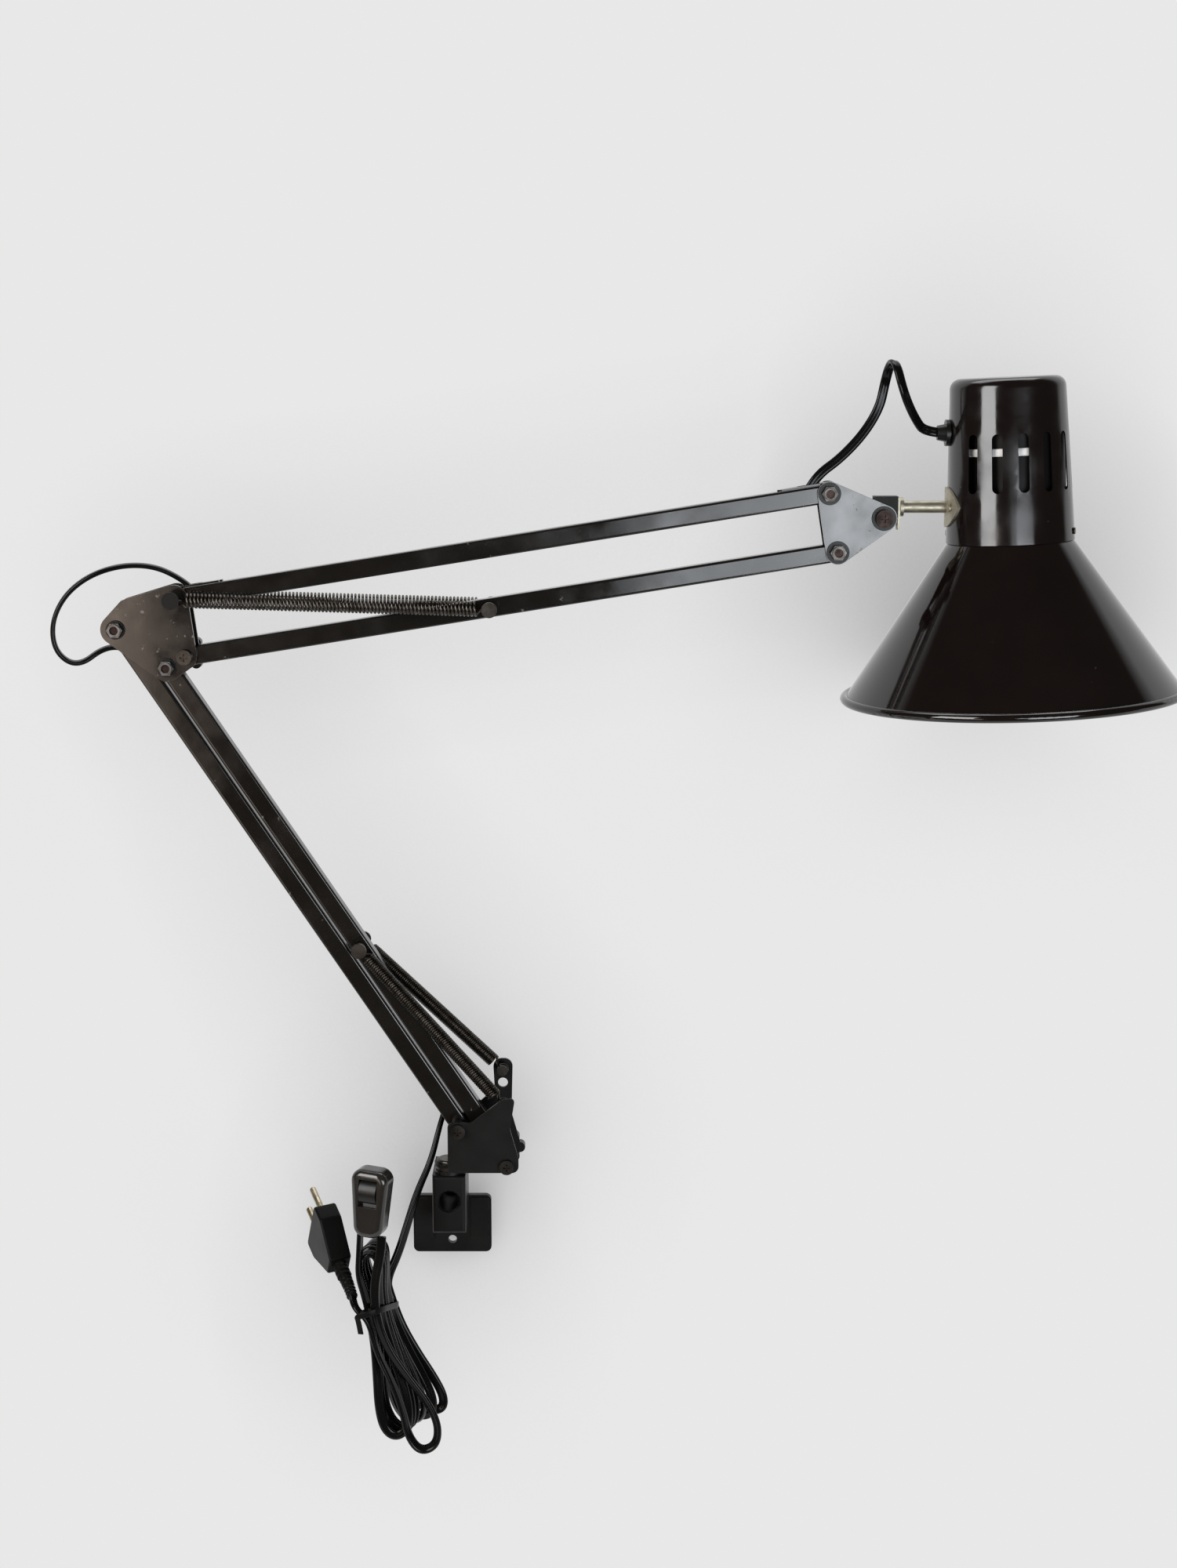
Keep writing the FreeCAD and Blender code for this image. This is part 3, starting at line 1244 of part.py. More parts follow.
def plug_body():
    """A flat two-pin plug along Z, widest at its pins, with a ribbed strain relief at the cord."""
    half = PLUG_WIDTH / 2
    neck = PLUG_NECK / 2
    square = RELIEF_LENGTH + PLUG_LENGTH - PLUG_SQUARE
    top = RELIEF_LENGTH + PLUG_LENGTH
    corners = [
        (V(-neck, 0, RELIEF_LENGTH), 2.0),
        (V(neck, 0, RELIEF_LENGTH), 2.0),
        (V(half, 0, square), 5.0),
        (V(half, 0, top), 3.0),
        (V(-half, 0, top), 3.0),
        (V(-half, 0, square), 5.0),
    ]
    body = slab(rounded(corners), -PLUG_THICK / 2, PLUG_THICK / 2)
    rims = [e for e in body.Edges if e.BoundBox.YLength < 1e-6]
    body = body.makeFillet(PLUG_EDGE_R / 2, rims)
    relief = cone_rod(V(0, 0, 0), V(0, 0, RELIEF_LENGTH + 1), RELIEF_R * 0.72, RELIEF_R)
    for i in range(3):
        z = RELIEF_LENGTH * (0.2 + 0.28 * i)
        relief = relief.fuse(rod(V(0, 0, z), V(0, 0, z + 1.4), RELIEF_R))
    body = body.fuse(relief).removeSplitter()
    for x in (-PLUG_PIN_SPACING / 2, PLUG_PIN_SPACING / 2):
        body = body.cut(rod(V(x, 0, top - 8), V(x, 0, top + 1), PLUG_PIN_R))
    body.Placement = PLUG_PLACE
    return body


def plug_pins():
    top = RELIEF_LENGTH + PLUG_LENGTH
    pins = []
    for x in (-PLUG_PIN_SPACING / 2, PLUG_PIN_SPACING / 2):
        pin = rod(V(x, 0, top - 8), V(x, 0, top + PLUG_PIN_LENGTH), PLUG_PIN_R)
        pin = pin.makeFillet(PLUG_PIN_R * 0.6, flat_edges(pin, top + PLUG_PIN_LENGTH))
        pin.Placement = PLUG_PLACE
        pins.append(pin)
    return Part.makeCompound(pins)


def cord_plug_lead():
    """From the switch down through the tie, round one low loop, and up through the tie to the plug."""
    entry = SWITCH_PLACE.multVec(V(LEAD_IN, 0, 0))
    below = SWITCH_PLACE.multVec(V(LEAD_IN, 0, -10))
    waist = HANK_WAIST * 0.75
    points = [
        entry,
        below,
        hank_place(-20, 9.0, LEAD_DEPTH),
        hank_place(0, waist, LEAD_DEPTH),
        hank_place(20, 7.5, LEAD_DEPTH),
        hank_place(40, 17.0, LEAD_DEPTH),
        hank_place(58, 25.0, LEAD_DEPTH),
        hank_place(73, 28.0, LEAD_DEPTH),
        hank_place(85, 24.0, LEAD_DEPTH),
        hank_place(87, 14.0, LEAD_DEPTH),
        hank_place(76, 9.0, LEAD_DEPTH),
        hank_place(60, 9.5, LEAD_DEPTH),
        hank_place(40, 6.0, LEAD_DEPTH),
        hank_place(20, -0.5, LEAD_DEPTH),
        hank_place(0, -waist, LEAD_DEPTH),
        hank_place(-8, -6.5, LEAD_DEPTH),
        PLUG_START - PLUG_AXIS * 10,
        PLUG_START,
    ]
    return cord(points, "cord_plug_lead")


def lower_spring(side):
    start = arm(REAR_ANCHOR_X, REAR_ANCHOR_Z) if side > 0 else arm(FRONT_ANCHOR_X, FRONT_ANCHOR_Z)
    shift = V(0, side * LOWER_SPRING_Y, 0)
    post = BASE_RIGHT + LOWER_AIM * LOWER_POST
    name = "lower_spring_rear" if side > 0 else "lower_spring_front"
    return spring(start + shift, post + shift, ANCHOR_R, POST_R, LOWER_SPRING_D, LOWER_SPRING_TURNS, name)


def upper_spring(side):
    shift = V(0, side * UPPER_SPRING_Y, 0)
    post = ELBOW_RIGHT + UPPER_AIM * UPPER_POST
    name = "upper_spring_rear" if side > 0 else "upper_spring_front"
    return spring(ELBOW_TOP + shift, post + shift, PIVOT_R, POST_R, UPPER_SPRING_D, UPPER_SPRING_TURNS, name)


ELBOW_NUT_PLACES = [ELBOW_LEFT, ELBOW_LOW]
HEAD_NUT_PLACES = [HEAD_TOP, HEAD_LOW]
ELBOW_WASHERS = [(point, ELBOW_WASHER_R, PIVOT_R) for point in ELBOW_NUT_PLACES]
HEAD_WASHERS = [(point, HEAD_WASHER_R, PIVOT_R) for point in HEAD_NUT_PLACES]
HEAD_WASHERS.append((TILT, TILT_WASHER_R, TILT_SCREW_R))

NODES = {
    "wall_bracket": wall_bracket(),
    "pivot_bush": pivot_bush(),
    "swivel_pin": swivel_pin(),
    "pin_collar": pin_collar(),
    "base_yoke": base_yoke(),
    "spring_anchor_front": spring_anchor(FRONT_ANCHOR_X, FRONT_ANCHOR_Z, -1),
    "spring_anchor_rear": spring_anchor(REAR_ANCHOR_X, REAR_ANCHOR_Z, 1),
    "base_bolts": base_bolts(),
    "base_spacers": base_spacers(),
    "base_knob": lobed_knob(BASE_RIGHT, CHEEK_OUT + FACE_CLEAR, BASE_KNOB_HUB),
    "lower_left_bar": lower_left_bar(),
    "lower_right_bar": lower_right_bar(),
    "lower_spring_post": headed_post(BASE_RIGHT + LOWER_AIM * LOWER_POST, CHEEK_IN, POST_HEAD_R),
    "lower_spring_front": lower_spring(-1),
    "lower_spring_rear": lower_spring(1),
    "elbow_plate_front": elbow_plate(-1),
    "elbow_plate_rear": elbow_plate(1),
    "elbow_bolts": link_bolts(ELBOW_NUT_PLACES),
    "elbow_nuts": link_nuts(ELBOW_NUT_PLACES),
    "elbow_washers": link_washers(ELBOW_WASHERS),
    "elbow_screw": elbow_screw(),
    "elbow_knob": lobed_knob(ELBOW_RIGHT, PLATE_OUT + FACE_CLEAR, ELBOW_KNOB_HUB),
    "spring_pin": spring_pin(),
    "upper_top_bar": upper_top_bar(),
    "upper_bottom_bar": upper_bottom_bar(),
    "upper_spring_post": headed_post(ELBOW_RIGHT + UPPER_AIM * UPPER_POST, UPPER_PIN_END, POST_HEAD_R),
    "upper_spring_front": upper_spring(-1),
    "upper_spring_rear": upper_spring(1),
    "cord_clip_elbow": cord_clip(EXIT_SETBACK),
    "cord_clip_head": cord_clip(UPPER_LENGTH - EXIT_SETBACK),
    "head_plate_front": head_plate(-1),
    "head_plate_rear": head_plate(1),
    "head_bolts": link_bolts(HEAD_NUT_PLACES),
    "head_nuts": link_nuts(HEAD_NUT_PLACES),
    "head_washers": link_washers(HEAD_WASHERS),
    "tilt_screw": tilt_screw(),
    "pivot_block": pivot_block(),
    "stem_fork": stem_fork(),
    "shade_stem": shade_stem(),
    "stem_saddle": stem_saddle(),
    "saddle_rivets": saddle_rivets(),
    "shade_cap": shade_cap(),
    "shade_cone": shade_cone(),
    "cap_screws": cap_screws(),
    "cord_gland": cord_gland(),
    "lamp_holder": lamp_holder(),
    "cord_lower_run": rod(BASE_EXIT[0], ELBOW_LOWER_EXIT[0], CORD_R),
    "cord_upper_run": rod(ELBOW_UPPER_EXIT[0], HEAD_EXIT[0], CORD_R),
    "cord_elbow_loop": cord_elbow_loop(),
    "cord_head_loop": cord_head_loop(),
    "cord_tail": cord_tail(),
    "cord_hank": cord_hank(),
    "hank_tie": hank_tie(),
    "cord_switch_lead": cord_switch_lead(),
    "cord_plug_lead": cord_plug_lead(),
    "switch_shell_front": switch_shell_front(),
    "switch_shell_rear": switch_shell_rear(),
    "switch_rocker": switch_rocker(),
    "plug_body": plug_body(),
    "plug_pins": plug_pins(),
}

os.makedirs("parts", exist_ok=True)
for node, shape in NODES.items():
    if not shape.isValid():
        print("not valid:", node)
    shape.exportStep("parts/" + node + ".step")
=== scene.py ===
import bpy
import json
import math
from mathutils import Matrix, Vector


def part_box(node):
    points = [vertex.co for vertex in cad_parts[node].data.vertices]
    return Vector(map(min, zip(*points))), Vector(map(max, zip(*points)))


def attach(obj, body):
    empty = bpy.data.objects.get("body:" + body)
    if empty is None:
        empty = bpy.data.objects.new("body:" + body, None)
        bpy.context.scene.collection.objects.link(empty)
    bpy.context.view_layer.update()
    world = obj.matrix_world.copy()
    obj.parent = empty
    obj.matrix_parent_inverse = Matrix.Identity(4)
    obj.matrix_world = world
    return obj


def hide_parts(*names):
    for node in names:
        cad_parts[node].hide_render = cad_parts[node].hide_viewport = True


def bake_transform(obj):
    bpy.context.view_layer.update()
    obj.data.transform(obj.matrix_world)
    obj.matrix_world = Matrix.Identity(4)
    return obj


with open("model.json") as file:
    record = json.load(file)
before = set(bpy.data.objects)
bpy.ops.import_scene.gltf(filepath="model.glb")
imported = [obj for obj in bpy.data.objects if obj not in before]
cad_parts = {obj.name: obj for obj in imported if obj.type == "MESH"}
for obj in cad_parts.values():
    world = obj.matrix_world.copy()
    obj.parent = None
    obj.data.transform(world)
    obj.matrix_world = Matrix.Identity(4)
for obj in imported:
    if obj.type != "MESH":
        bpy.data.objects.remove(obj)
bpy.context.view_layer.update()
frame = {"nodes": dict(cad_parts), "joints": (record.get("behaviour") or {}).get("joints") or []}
nodes = frame["nodes"]
scene = bpy.context.scene
scene.view_settings.view_transform = "Standard"

MM = 0.001
ARM_Y = -27.0


# Places in the row frame, in metres
def arm(x, z, y=0.0):
    """A point given in millimetres, in front of the arms' plane when y is negative."""
    return Vector((x, ARM_Y + y, z)) * MM


def toward(angle):
    """The direction in the arms' plane at an angle above +X."""
    return Vector((math.cos(math.radians(angle)), 0, math.sin(math.radians(angle))))


def joint_place(name):
    """Where a joint of the frame is at rest."""
    for joint in frame["joints"]:
        if joint["name"] == name:
            return Vector(joint["pos_m"])
    raise ValueError(name)


def beside(place, steps):
    """Points at steps of x, z and y, in millimetres, from a place."""
    return [place + Vector((x, y, z)) * MM for x, z, y in steps]


def middle_of(node):
    """The middle of a node's box."""
    low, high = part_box(node)
    return (low + high) / 2


BASE_LEFT = joint_place("lower_arm_tilt")
ELBOW_LEFT = joint_place("elbow_level")
ELBOW_TOP = joint_place("upper_arm_tilt")
HEAD_TOP = joint_place("head_level")
LOWER_AIM = (ELBOW_LEFT - BASE_LEFT).normalized()
UPPER_AIM = (HEAD_TOP - ELBOW_TOP).normalized()
LOWER_SIDE = Vector((-LOWER_AIM.z, 0, LOWER_AIM.x))
UPPER_SIDE = Vector((-UPPER_AIM.z, 0, UPPER_AIM.x))


# Scales of the noise patterns, per metre, and depths of the bumps, in metres
SPECK_SCALE = 210
PATCH_SCALE = 95
MOTTLE_SCALE = 28
GLOSS_SCALE = 45
STAIN_SCALE = 240
POLISH_SCALE = 120
COAT_DEPTH = 0.0002
METAL_DEPTH = 0.0001
WAVE_DEPTH = 0.002

# Limits of the noise values, and of the bent normals, between which a look changes
NOISE_LOW = 0.3
NOISE_HIGH = 0.7
SPECK_EDGE = 0.05
PATCH_LIMITS = (0.42, 0.6)
STAIN_LIMITS = (0.42, 0.66)
EDGE_LIMITS = (0.985, 0.82)

# How much lighter the mottles are and how much rougher the bare places
MOTTLE_LIFT = 1.5
BARE_DULLING = 0.22

# Places of the colour sockets on the mix node, and the samples of the edge finder
MIX_FIRST = 6
MIX_SECOND = 7
MIX_RESULT = 2
BEVEL_SAMPLES = 4


# Shader helpers
def shader(name):
    """A new material with its shader node and its node tree."""
    material = bpy.data.materials.new(name)
    material.use_nodes = True
    return material, material.node_tree.nodes["Principled BSDF"], material.node_tree


def noise(tree, scale, detail):
    """A noise value over the object's own place."""
    place = tree.nodes.new("ShaderNodeTexCoord")
    texture = tree.nodes.new("ShaderNodeTexNoise")
    texture.inputs["Scale"].default_value = scale
    texture.inputs["Detail"].default_value = detail
    tree.links.new(place.outputs["Object"], texture.inputs["Vector"])
    return texture.outputs["Fac"]


def spread(tree, value, low, high, start=NOISE_LOW, stop=NOISE_HIGH):
    """A value between start and stop spread between two limits."""
    node = tree.nodes.new("ShaderNodeMapRange")
    node.inputs["From Min"].default_value = start
    node.inputs["From Max"].default_value = stop
    node.inputs["To Min"].default_value = low
    node.inputs["To Max"].default_value = high
    tree.links.new(value, node.inputs["Value"])
    return node.outputs["Result"]


def reckon(tree, operation, first, second):
    """Two values put together, clamped between 0 and 1."""
    node = tree.nodes.new("ShaderNodeMath")
    node.operation = operation
    node.use_clamp = True
    for socket, source in zip(node.inputs, (first, second)):
        if isinstance(source, float):
            socket.default_value = source
        else:
            tree.links.new(source, socket)
    return node.outputs["Value"]


def between(tree, share, first, second):
    """A colour between two colours, or between a colour and one made by other nodes."""
    node = tree.nodes.new("ShaderNodeMix")
    node.data_type = "RGBA"
    tree.links.new(share, node.inputs["Factor"])
    for socket, source in zip((node.inputs[MIX_FIRST], node.inputs[MIX_SECOND]), (first, second)):
        if isinstance(source, tuple):
            socket.default_value = source
        else:
            tree.links.new(source, socket)
    return node.outputs[MIX_RESULT]


def relief(tree, bsdf, value, strength, distance):
    """A bump from a value, over any bump that is there already."""
    node = tree.nodes.new("ShaderNodeBump")
    node.inputs["Strength"].default_value = strength
    node.inputs["Distance"].default_value = distance
    tree.links.new(value, node.inputs["Height"])
    if bsdf.inputs["Normal"].links:
        tree.links.new(bsdf.inputs["Normal"].links[0].from_socket, node.inputs["Normal"])
    tree.links.new(node.outputs["Normal"], bsdf.inputs["Normal"])


def edges(tree, radius):
    """How near a place is to a sharp edge, from 0 to 1."""
    bevel = tree.nodes.new("ShaderNodeBevel")
    bevel.samples = BEVEL_SAMPLES
    bevel.inputs["Radius"].default_value = radius
    geometry = tree.nodes.new("ShaderNodeNewGeometry")
    dot = tree.nodes.new("ShaderNodeVectorMath")
    dot.operation = "DOT_PRODUCT"
    tree.links.new(bevel.outputs["Normal"], dot.inputs[0])
    tree.links.new(geometry.outputs["Normal"], dot.inputs[1])
    return spread(tree, dot.outputs["Value"], 0.0, 1.0, *EDGE_LIMITS)


def grey(level, warm=0.0):
    """A colour near a grey level, redder when warm."""
    return (level * (1 + warm), level, level * (1 - warm), 1)


MATERIALS = {}


def coated(name, base, worn, rough, specks, grain, bump, ior=1.5, edge=0.0):
    """Paint or plastic: mottled colour, chips and rubbed edges, uneven gloss and a fine surface."""
    material, bsdf, tree = shader(name)
    bsdf.inputs["IOR"].default_value = ior
    bare = spread(tree, noise(tree, SPECK_SCALE, detail=6), 0.0, 1.0, specks, specks + SPECK_EDGE)
    if edge:
        patches = spread(tree, noise(tree, PATCH_SCALE, detail=5), 0.0, 1.0, *PATCH_LIMITS)
        rubbed = reckon(tree, "MULTIPLY", edges(tree, edge), patches)
        bare = reckon(tree, "MAXIMUM", bare, rubbed)
    lighter = tuple(min(1.0, MOTTLE_LIFT * c) for c in base)
    mottled = between(tree, spread(tree, noise(tree, MOTTLE_SCALE, detail=5), 0.0, 1.0), base, lighter)
    tree.links.new(between(tree, bare, mottled, worn), bsdf.inputs["Base Color"])
    gloss = spread(tree, noise(tree, GLOSS_SCALE, detail=4), rough[0], rough[1])
    dull = reckon(tree, "MULTIPLY", bare, BARE_DULLING)
    tree.links.new(reckon(tree, "ADD", gloss, dull), bsdf.inputs["Roughness"])
    relief(tree, bsdf, noise(tree, grain, detail=2), bump, COAT_DEPTH)
    MATERIALS[name] = material


def metal(name, base, stained, rough, grain, bump=0.10):
    """Bare metal: stained colour, uneven polish and a fine grain."""
    material, bsdf, tree = shader(name)
    bsdf.inputs["Metallic"].default_value = 1.0
    stain = spread(tree, noise(tree, STAIN_SCALE, detail=6), 0.0, 1.0, *STAIN_LIMITS)
    tree.links.new(between(tree, stain, base, stained), bsdf.inputs["Base Color"])
    polish = spread(tree, noise(tree, POLISH_SCALE, detail=4), rough[0], rough[1])
    tree.links.new(polish, bsdf.inputs["Roughness"])
    relief(tree, bsdf, noise(tree, grain, detail=2), bump, METAL_DEPTH)
    MATERIALS[name] = material


def wavy(material, scale, strength):
    """A faint unevenness of a formed sheet, which bends its reflections."""
    tree = material.node_tree
    relief(tree, tree.nodes["Principled BSDF"], noise(tree, scale, detail=1), strength, WAVE_DEPTH)


INNER_WHITE = grey(0.72, 0.02)
INNER_ROUGH = grey(0.4)
INNER_START = 0.0005
INNER_FACING = (-0.15, -0.3)


def white_inside(material, foot, axis):
    """White paint on the faces that look down the shade's axis, above its rim."""
    tree = material.node_tree
    bsdf = tree.nodes["Principled BSDF"]
    place = tree.nodes.new("ShaderNodeTexCoord")
    height = tree.nodes.new("ShaderNodeVectorMath")
    height.operation = "DOT_PRODUCT"
    height.inputs[1].default_value = axis
    facing = tree.nodes.new("ShaderNodeVectorMath")
    facing.operation = "DOT_PRODUCT"
    facing.inputs[1].default_value = axis
    tree.links.new(place.outputs["Object"], height.inputs[0])
    tree.links.new(place.outputs["Normal"], facing.inputs[0])
    start = foot.dot(axis)
    above = spread(tree, height.outputs["Value"], 0.0, 1.0, start, start + INNER_START)
    down = spread(tree, facing.outputs["Value"], 0.0, 1.0, *INNER_FACING)
    inside = reckon(tree, "MULTIPLY", above, down)
    for socket, inner in (("Base Color", INNER_WHITE), ("Roughness", INNER_ROUGH)):
        outer = bsdf.inputs[socket].links[0].from_socket
        tree.links.new(between(tree, inside, outer, inner), bsdf.inputs[socket])


RIM_ROLL = 8 * MM
cone_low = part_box("shade_cone")[0]
SHADE_AXIS = (middle_of("shade_cap") - middle_of("shade_cone")).normalized()
SHADE_RIM = Vector((middle_of("shade_cone").x, ARM_Y * MM, cone_low.z + RIM_ROLL))
ENAMEL = (0.0046, 0.0029, 0.0026, 1)
ENAMEL_WORN = (0.040, 0.033, 0.030, 1)
EDGE_WEAR = 0.0006
PAINT_WEAR = 0.0005

coated("enamel", ENAMEL, ENAMEL_WORN, rough=(0.07, 0.26), specks=0.72, grain=1600, bump=0.03, ior=1.6)
wavy(MATERIALS["enamel"], scale=24, strength=0.09)
coated("cone_enamel", ENAMEL, ENAMEL_WORN, rough=(0.05, 0.11), specks=0.735,
       grain=1600, bump=0.03, ior=1.6)
wavy(MATERIALS["cone_enamel"], scale=14, strength=0.07)
coated("arm_enamel", grey(0.0050, 0.16), grey(0.10, 0.10), rough=(0.07, 0.22), specks=0.70,
       grain=700, bump=0.02, ior=1.6, edge=EDGE_WEAR)
coated("plate_enamel", grey(0.0060, 0.14), grey(0.10, 0.10), rough=(0.05, 0.24), specks=0.64,
       grain=600, bump=0.015, ior=1.7, edge=EDGE_WEAR)
coated("black_paint", grey(0.0040, 0.06), grey(0.035, 0.06), rough=(0.36, 0.50), specks=0.74,
       grain=2200, bump=0.16, ior=1.28, edge=PAINT_WEAR)
coated("black_plastic", grey(0.0042, 0.06), grey(0.016), rough=(0.26, 0.40), specks=0.74,
       grain=1500, bump=0.08, ior=1.38)
coated("moulded", grey(0.012, 0.14), grey(0.036, 0.10), rough=(0.13, 0.22), specks=0.74,
       grain=1300, bump=0.05, ior=1.6, edge=EDGE_WEAR)
coated("plug_pvc", grey(0.0055, 0.04), grey(0.020, 0.05), rough=(0.24, 0.34), specks=0.72,
       grain=1500, bump=0.08, ior=1.14, edge=EDGE_WEAR)
coated("cord", grey(0.0034, 0.03), grey(0.010), rough=(0.12, 0.17), specks=0.78,
       grain=900, bump=0.006, ior=1.29)
coated("holder_dark", grey(0.005, 0.10), grey(0.02, 0.10), rough=(0.36, 0.50), specks=0.74,
       grain=800, bump=0.06, ior=1.22)
coated("holder_white", grey(0.62, 0.02), grey(0.46, 0.06), rough=(0.24, 0.38), specks=0.70,
       grain=800, bump=0.06)
metal("nickel", (0.44, 0.41, 0.33, 1), (0.35, 0.32, 0.25, 1), rough=(0.44, 0.56), grain=900, bump=0.04)
metal("nut_steel", grey(0.20, -0.08), grey(0.10, 0.02), rough=(0.20, 0.36), grain=1200)
metal("dark_nut", grey(0.075, 0.08), grey(0.035, 0.14), rough=(0.22, 0.38), grain=1200)
metal("dark_steel", grey(0.075, 0.10), grey(0.04, 0.16), rough=(0.28, 0.46), grain=1200)
metal("spring_wire", grey(0.085, 0.12), grey(0.040, 0.20), rough=(0.24, 0.38), grain=1500)
metal("dark_wire", grey(0.036, 0.14), grey(0.016, 0.22), rough=(0.24, 0.38), grain=1500)
metal("brown_steel", (0.036, 0.025, 0.022, 1), (0.018, 0.014, 0.013, 1), rough=(0.32, 0.48), grain=1300)
metal("pin_metal", (0.52, 0.46, 0.34, 1), (0.34, 0.29, 0.20, 1), rough=(0.24, 0.40), grain=900)
white_inside(MATERIALS["cone_enamel"], SHADE_RIM, SHADE_AXIS)

NODE_LOOKS = {
    "black_paint": ["wall_bracket", "base_yoke", "pivot_block", "spring_pin"],
    "arm_enamel": ["lower_left_bar", "lower_right_bar", "upper_top_bar", "upper_bottom_bar",
                   "cord_clip_elbow", "cord_clip_head"],
    "plate_enamel": ["elbow_plate_front", "elbow_plate_rear", "head_plate_front", "head_plate_rear"],
    "nut_steel": ["elbow_nuts"],
    "dark_nut": ["head_nuts", "base_bolts"],
    "dark_steel": ["swivel_pin", "pin_collar", "elbow_screw", "spring_anchor_front", "spring_anchor_rear",
                   "lower_spring_post", "upper_spring_post", "cap_screws"],
    "brown_steel": ["tilt_screw", "elbow_bolts", "head_bolts"],
    "black_plastic": ["pivot_bush", "base_spacers", "base_knob", "elbow_knob", "elbow_washers",
                      "head_washers", "cord_gland", "switch_rocker"],
    "nickel": ["stem_fork", "shade_stem", "stem_saddle", "saddle_rivets"],
    "enamel": ["shade_cap"],
    "cone_enamel": ["shade_cone"],
    "holder_dark": ["lamp_holder"],
    "moulded": ["switch_shell_front", "switch_shell_rear"],
    "plug_pvc": ["plug_body"],
    "pin_metal": ["plug_pins"],
}
for look, names in NODE_LOOKS.items():
    for name in names:
        slots = nodes[name].data.materials
        slots.clear()
        slots.append(MATERIALS[look])


# Tubes along smooth curves
SHARP_ANGLE = 45
CABLE_ROUNDING = 0.65
GROOVE_DEPTH = 0.20
GROOVE_WIDTH = 0.26
STRAP_ROUNDING = 0.5


def smooth_line(points, steps):
    """Points along the smooth curve that a route's points control."""
    curve = bpy.data.curves.new("line", "CURVE")
    curve.dimensions = "3D"
    curve.resolution_u = steps
    spline = curve.splines.new("NURBS")
    spline.points.add(len(points) - 1)
    for point, place in zip(spline.points, points):
        point.co = (*place, 1)
    spline.order_u = 3
    spline.use_endpoint_u = True
    holder = bpy.data.objects.new("line", curve)
    scene.collection.objects.link(holder)
    mesh = bpy.data.meshes.new_from_object(holder)
    line = [v.co.copy() for v in mesh.vertices]
    bpy.data.objects.remove(holder)
    bpy.data.curves.remove(curve)
    bpy.data.meshes.remove(mesh)
    return line


def round_section(diameter, sides):
    """The outline of a round wire."""
    angles = [2 * math.pi * k / sides for k in range(sides)]
    return [(math.cos(a) * diameter / 2, math.sin(a) * diameter / 2) for a in angles]


def twin_section(width, thick, sides):
    """The outline of a flat cable with two cores side by side and a groove between them."""
    outline = []
    for k in range(sides):
        angle = 2 * math.pi * (k + 0.5) / sides
        across = math.cos(angle)
        lobe = abs(math.sin(angle)) ** CABLE_ROUNDING
        groove = 1 - GROOVE_DEPTH * math.exp(-(across / GROOVE_WIDTH) ** 2)
        outline.append((across * width / 2, math.copysign(lobe * groove * thick / 2, math.sin(angle))))
    return outline


def flat_section(width, thick, sides):
    """The outline of a flat strap with rounded corners."""
    outline = []
    for k in range(sides):
        angle = 2 * math.pi * (k + 0.5) / sides
        across = math.copysign(abs(math.cos(angle)) ** STRAP_ROUNDING, math.cos(angle))
        up = math.copysign(abs(math.sin(angle)) ** STRAP_ROUNDING, math.sin(angle))
        outline.append((across * width / 2, up * thick / 2))
    return outline


def frames(line, wide=None, twist=0.0):
    """At each point of a line, its place and two directions of a section whose width starts along wide."""
    found = []
    aim = (line[1] - line[0]).normalized()
    across = aim.orthogonal() if wide is None else wide - aim * wide.dot(aim)
    across.normalize()
    run = 0.0
    for i, place in enumerate(line):
        ahead = line[min(i + 1, len(line) - 1)] - line[max(i - 1, 0)]
        across.rotate(aim.rotation_difference(ahead))
        aim = ahead.normalized()
        turned = Matrix.Rotation(twist * run, 3, aim) @ across
        found.append((place, turned, aim.cross(turned)))
        run += (line[min(i + 1, len(line) - 1)] - place).length
    return found


def mesh_piece(name, verts, faces, look):
    """A new piece of the scene with a mesh and a look."""
    mesh = bpy.data.meshes.new(name)
    mesh.from_pydata(verts, [], faces)
    mesh.shade_smooth()
    mesh.set_sharp_from_angle(angle=math.radians(SHARP_ANGLE))
    mesh.materials.append(MATERIALS[look])
    piece = bpy.data.objects.new(name, mesh)
    scene.collection.objects.link(piece)
    return piece


def skin(name, line_frames, section, look, sizes=None):
    """A closed tube mesh of a section along the frames of a line."""
    verts = []
    faces = []
    sides = len(section)
    for i, (place, across, other) in enumerate(line_frames):
        size = sizes[i] if sizes else 1.0
        verts += [place + (across * u + other * v) * size for u, v in section]
    for i in range(len(line_frames) - 1):
        for k in range(sides):
            a = i * sides + k
            b = i * sides + (k + 1) % sides
            faces.append((a, b, b + sides, a + sides))
    faces.append(tuple(reversed(range(sides))))
    faces.append(tuple(range(len(verts) - sides, len(verts))))
    return mesh_piece(name, verts, faces, look)


def lathe(name, middle, axis, outline, sides, look):
    """A ring turned about an axis; the outline gives radius and height in millimetres."""
    across = axis.orthogonal().normalized()
    other = axis.cross(across)
    count = len(outline)
    verts = []
    faces = []
    for k in range(sides):
        angle = 2 * math.pi * k / sides
        radial = across * math.cos(angle) + other * math.sin(angle)
        verts += [middle + (radial * radius + axis * height) * MM for radius, height in outline]
        for j in range(count):
            here = k * count
            there = (k + 1) % sides * count
            follow = (j + 1) % count
            faces.append((here + j, there + j, there + follow, here + follow))
    return mesh_piece(name, verts, faces, look)


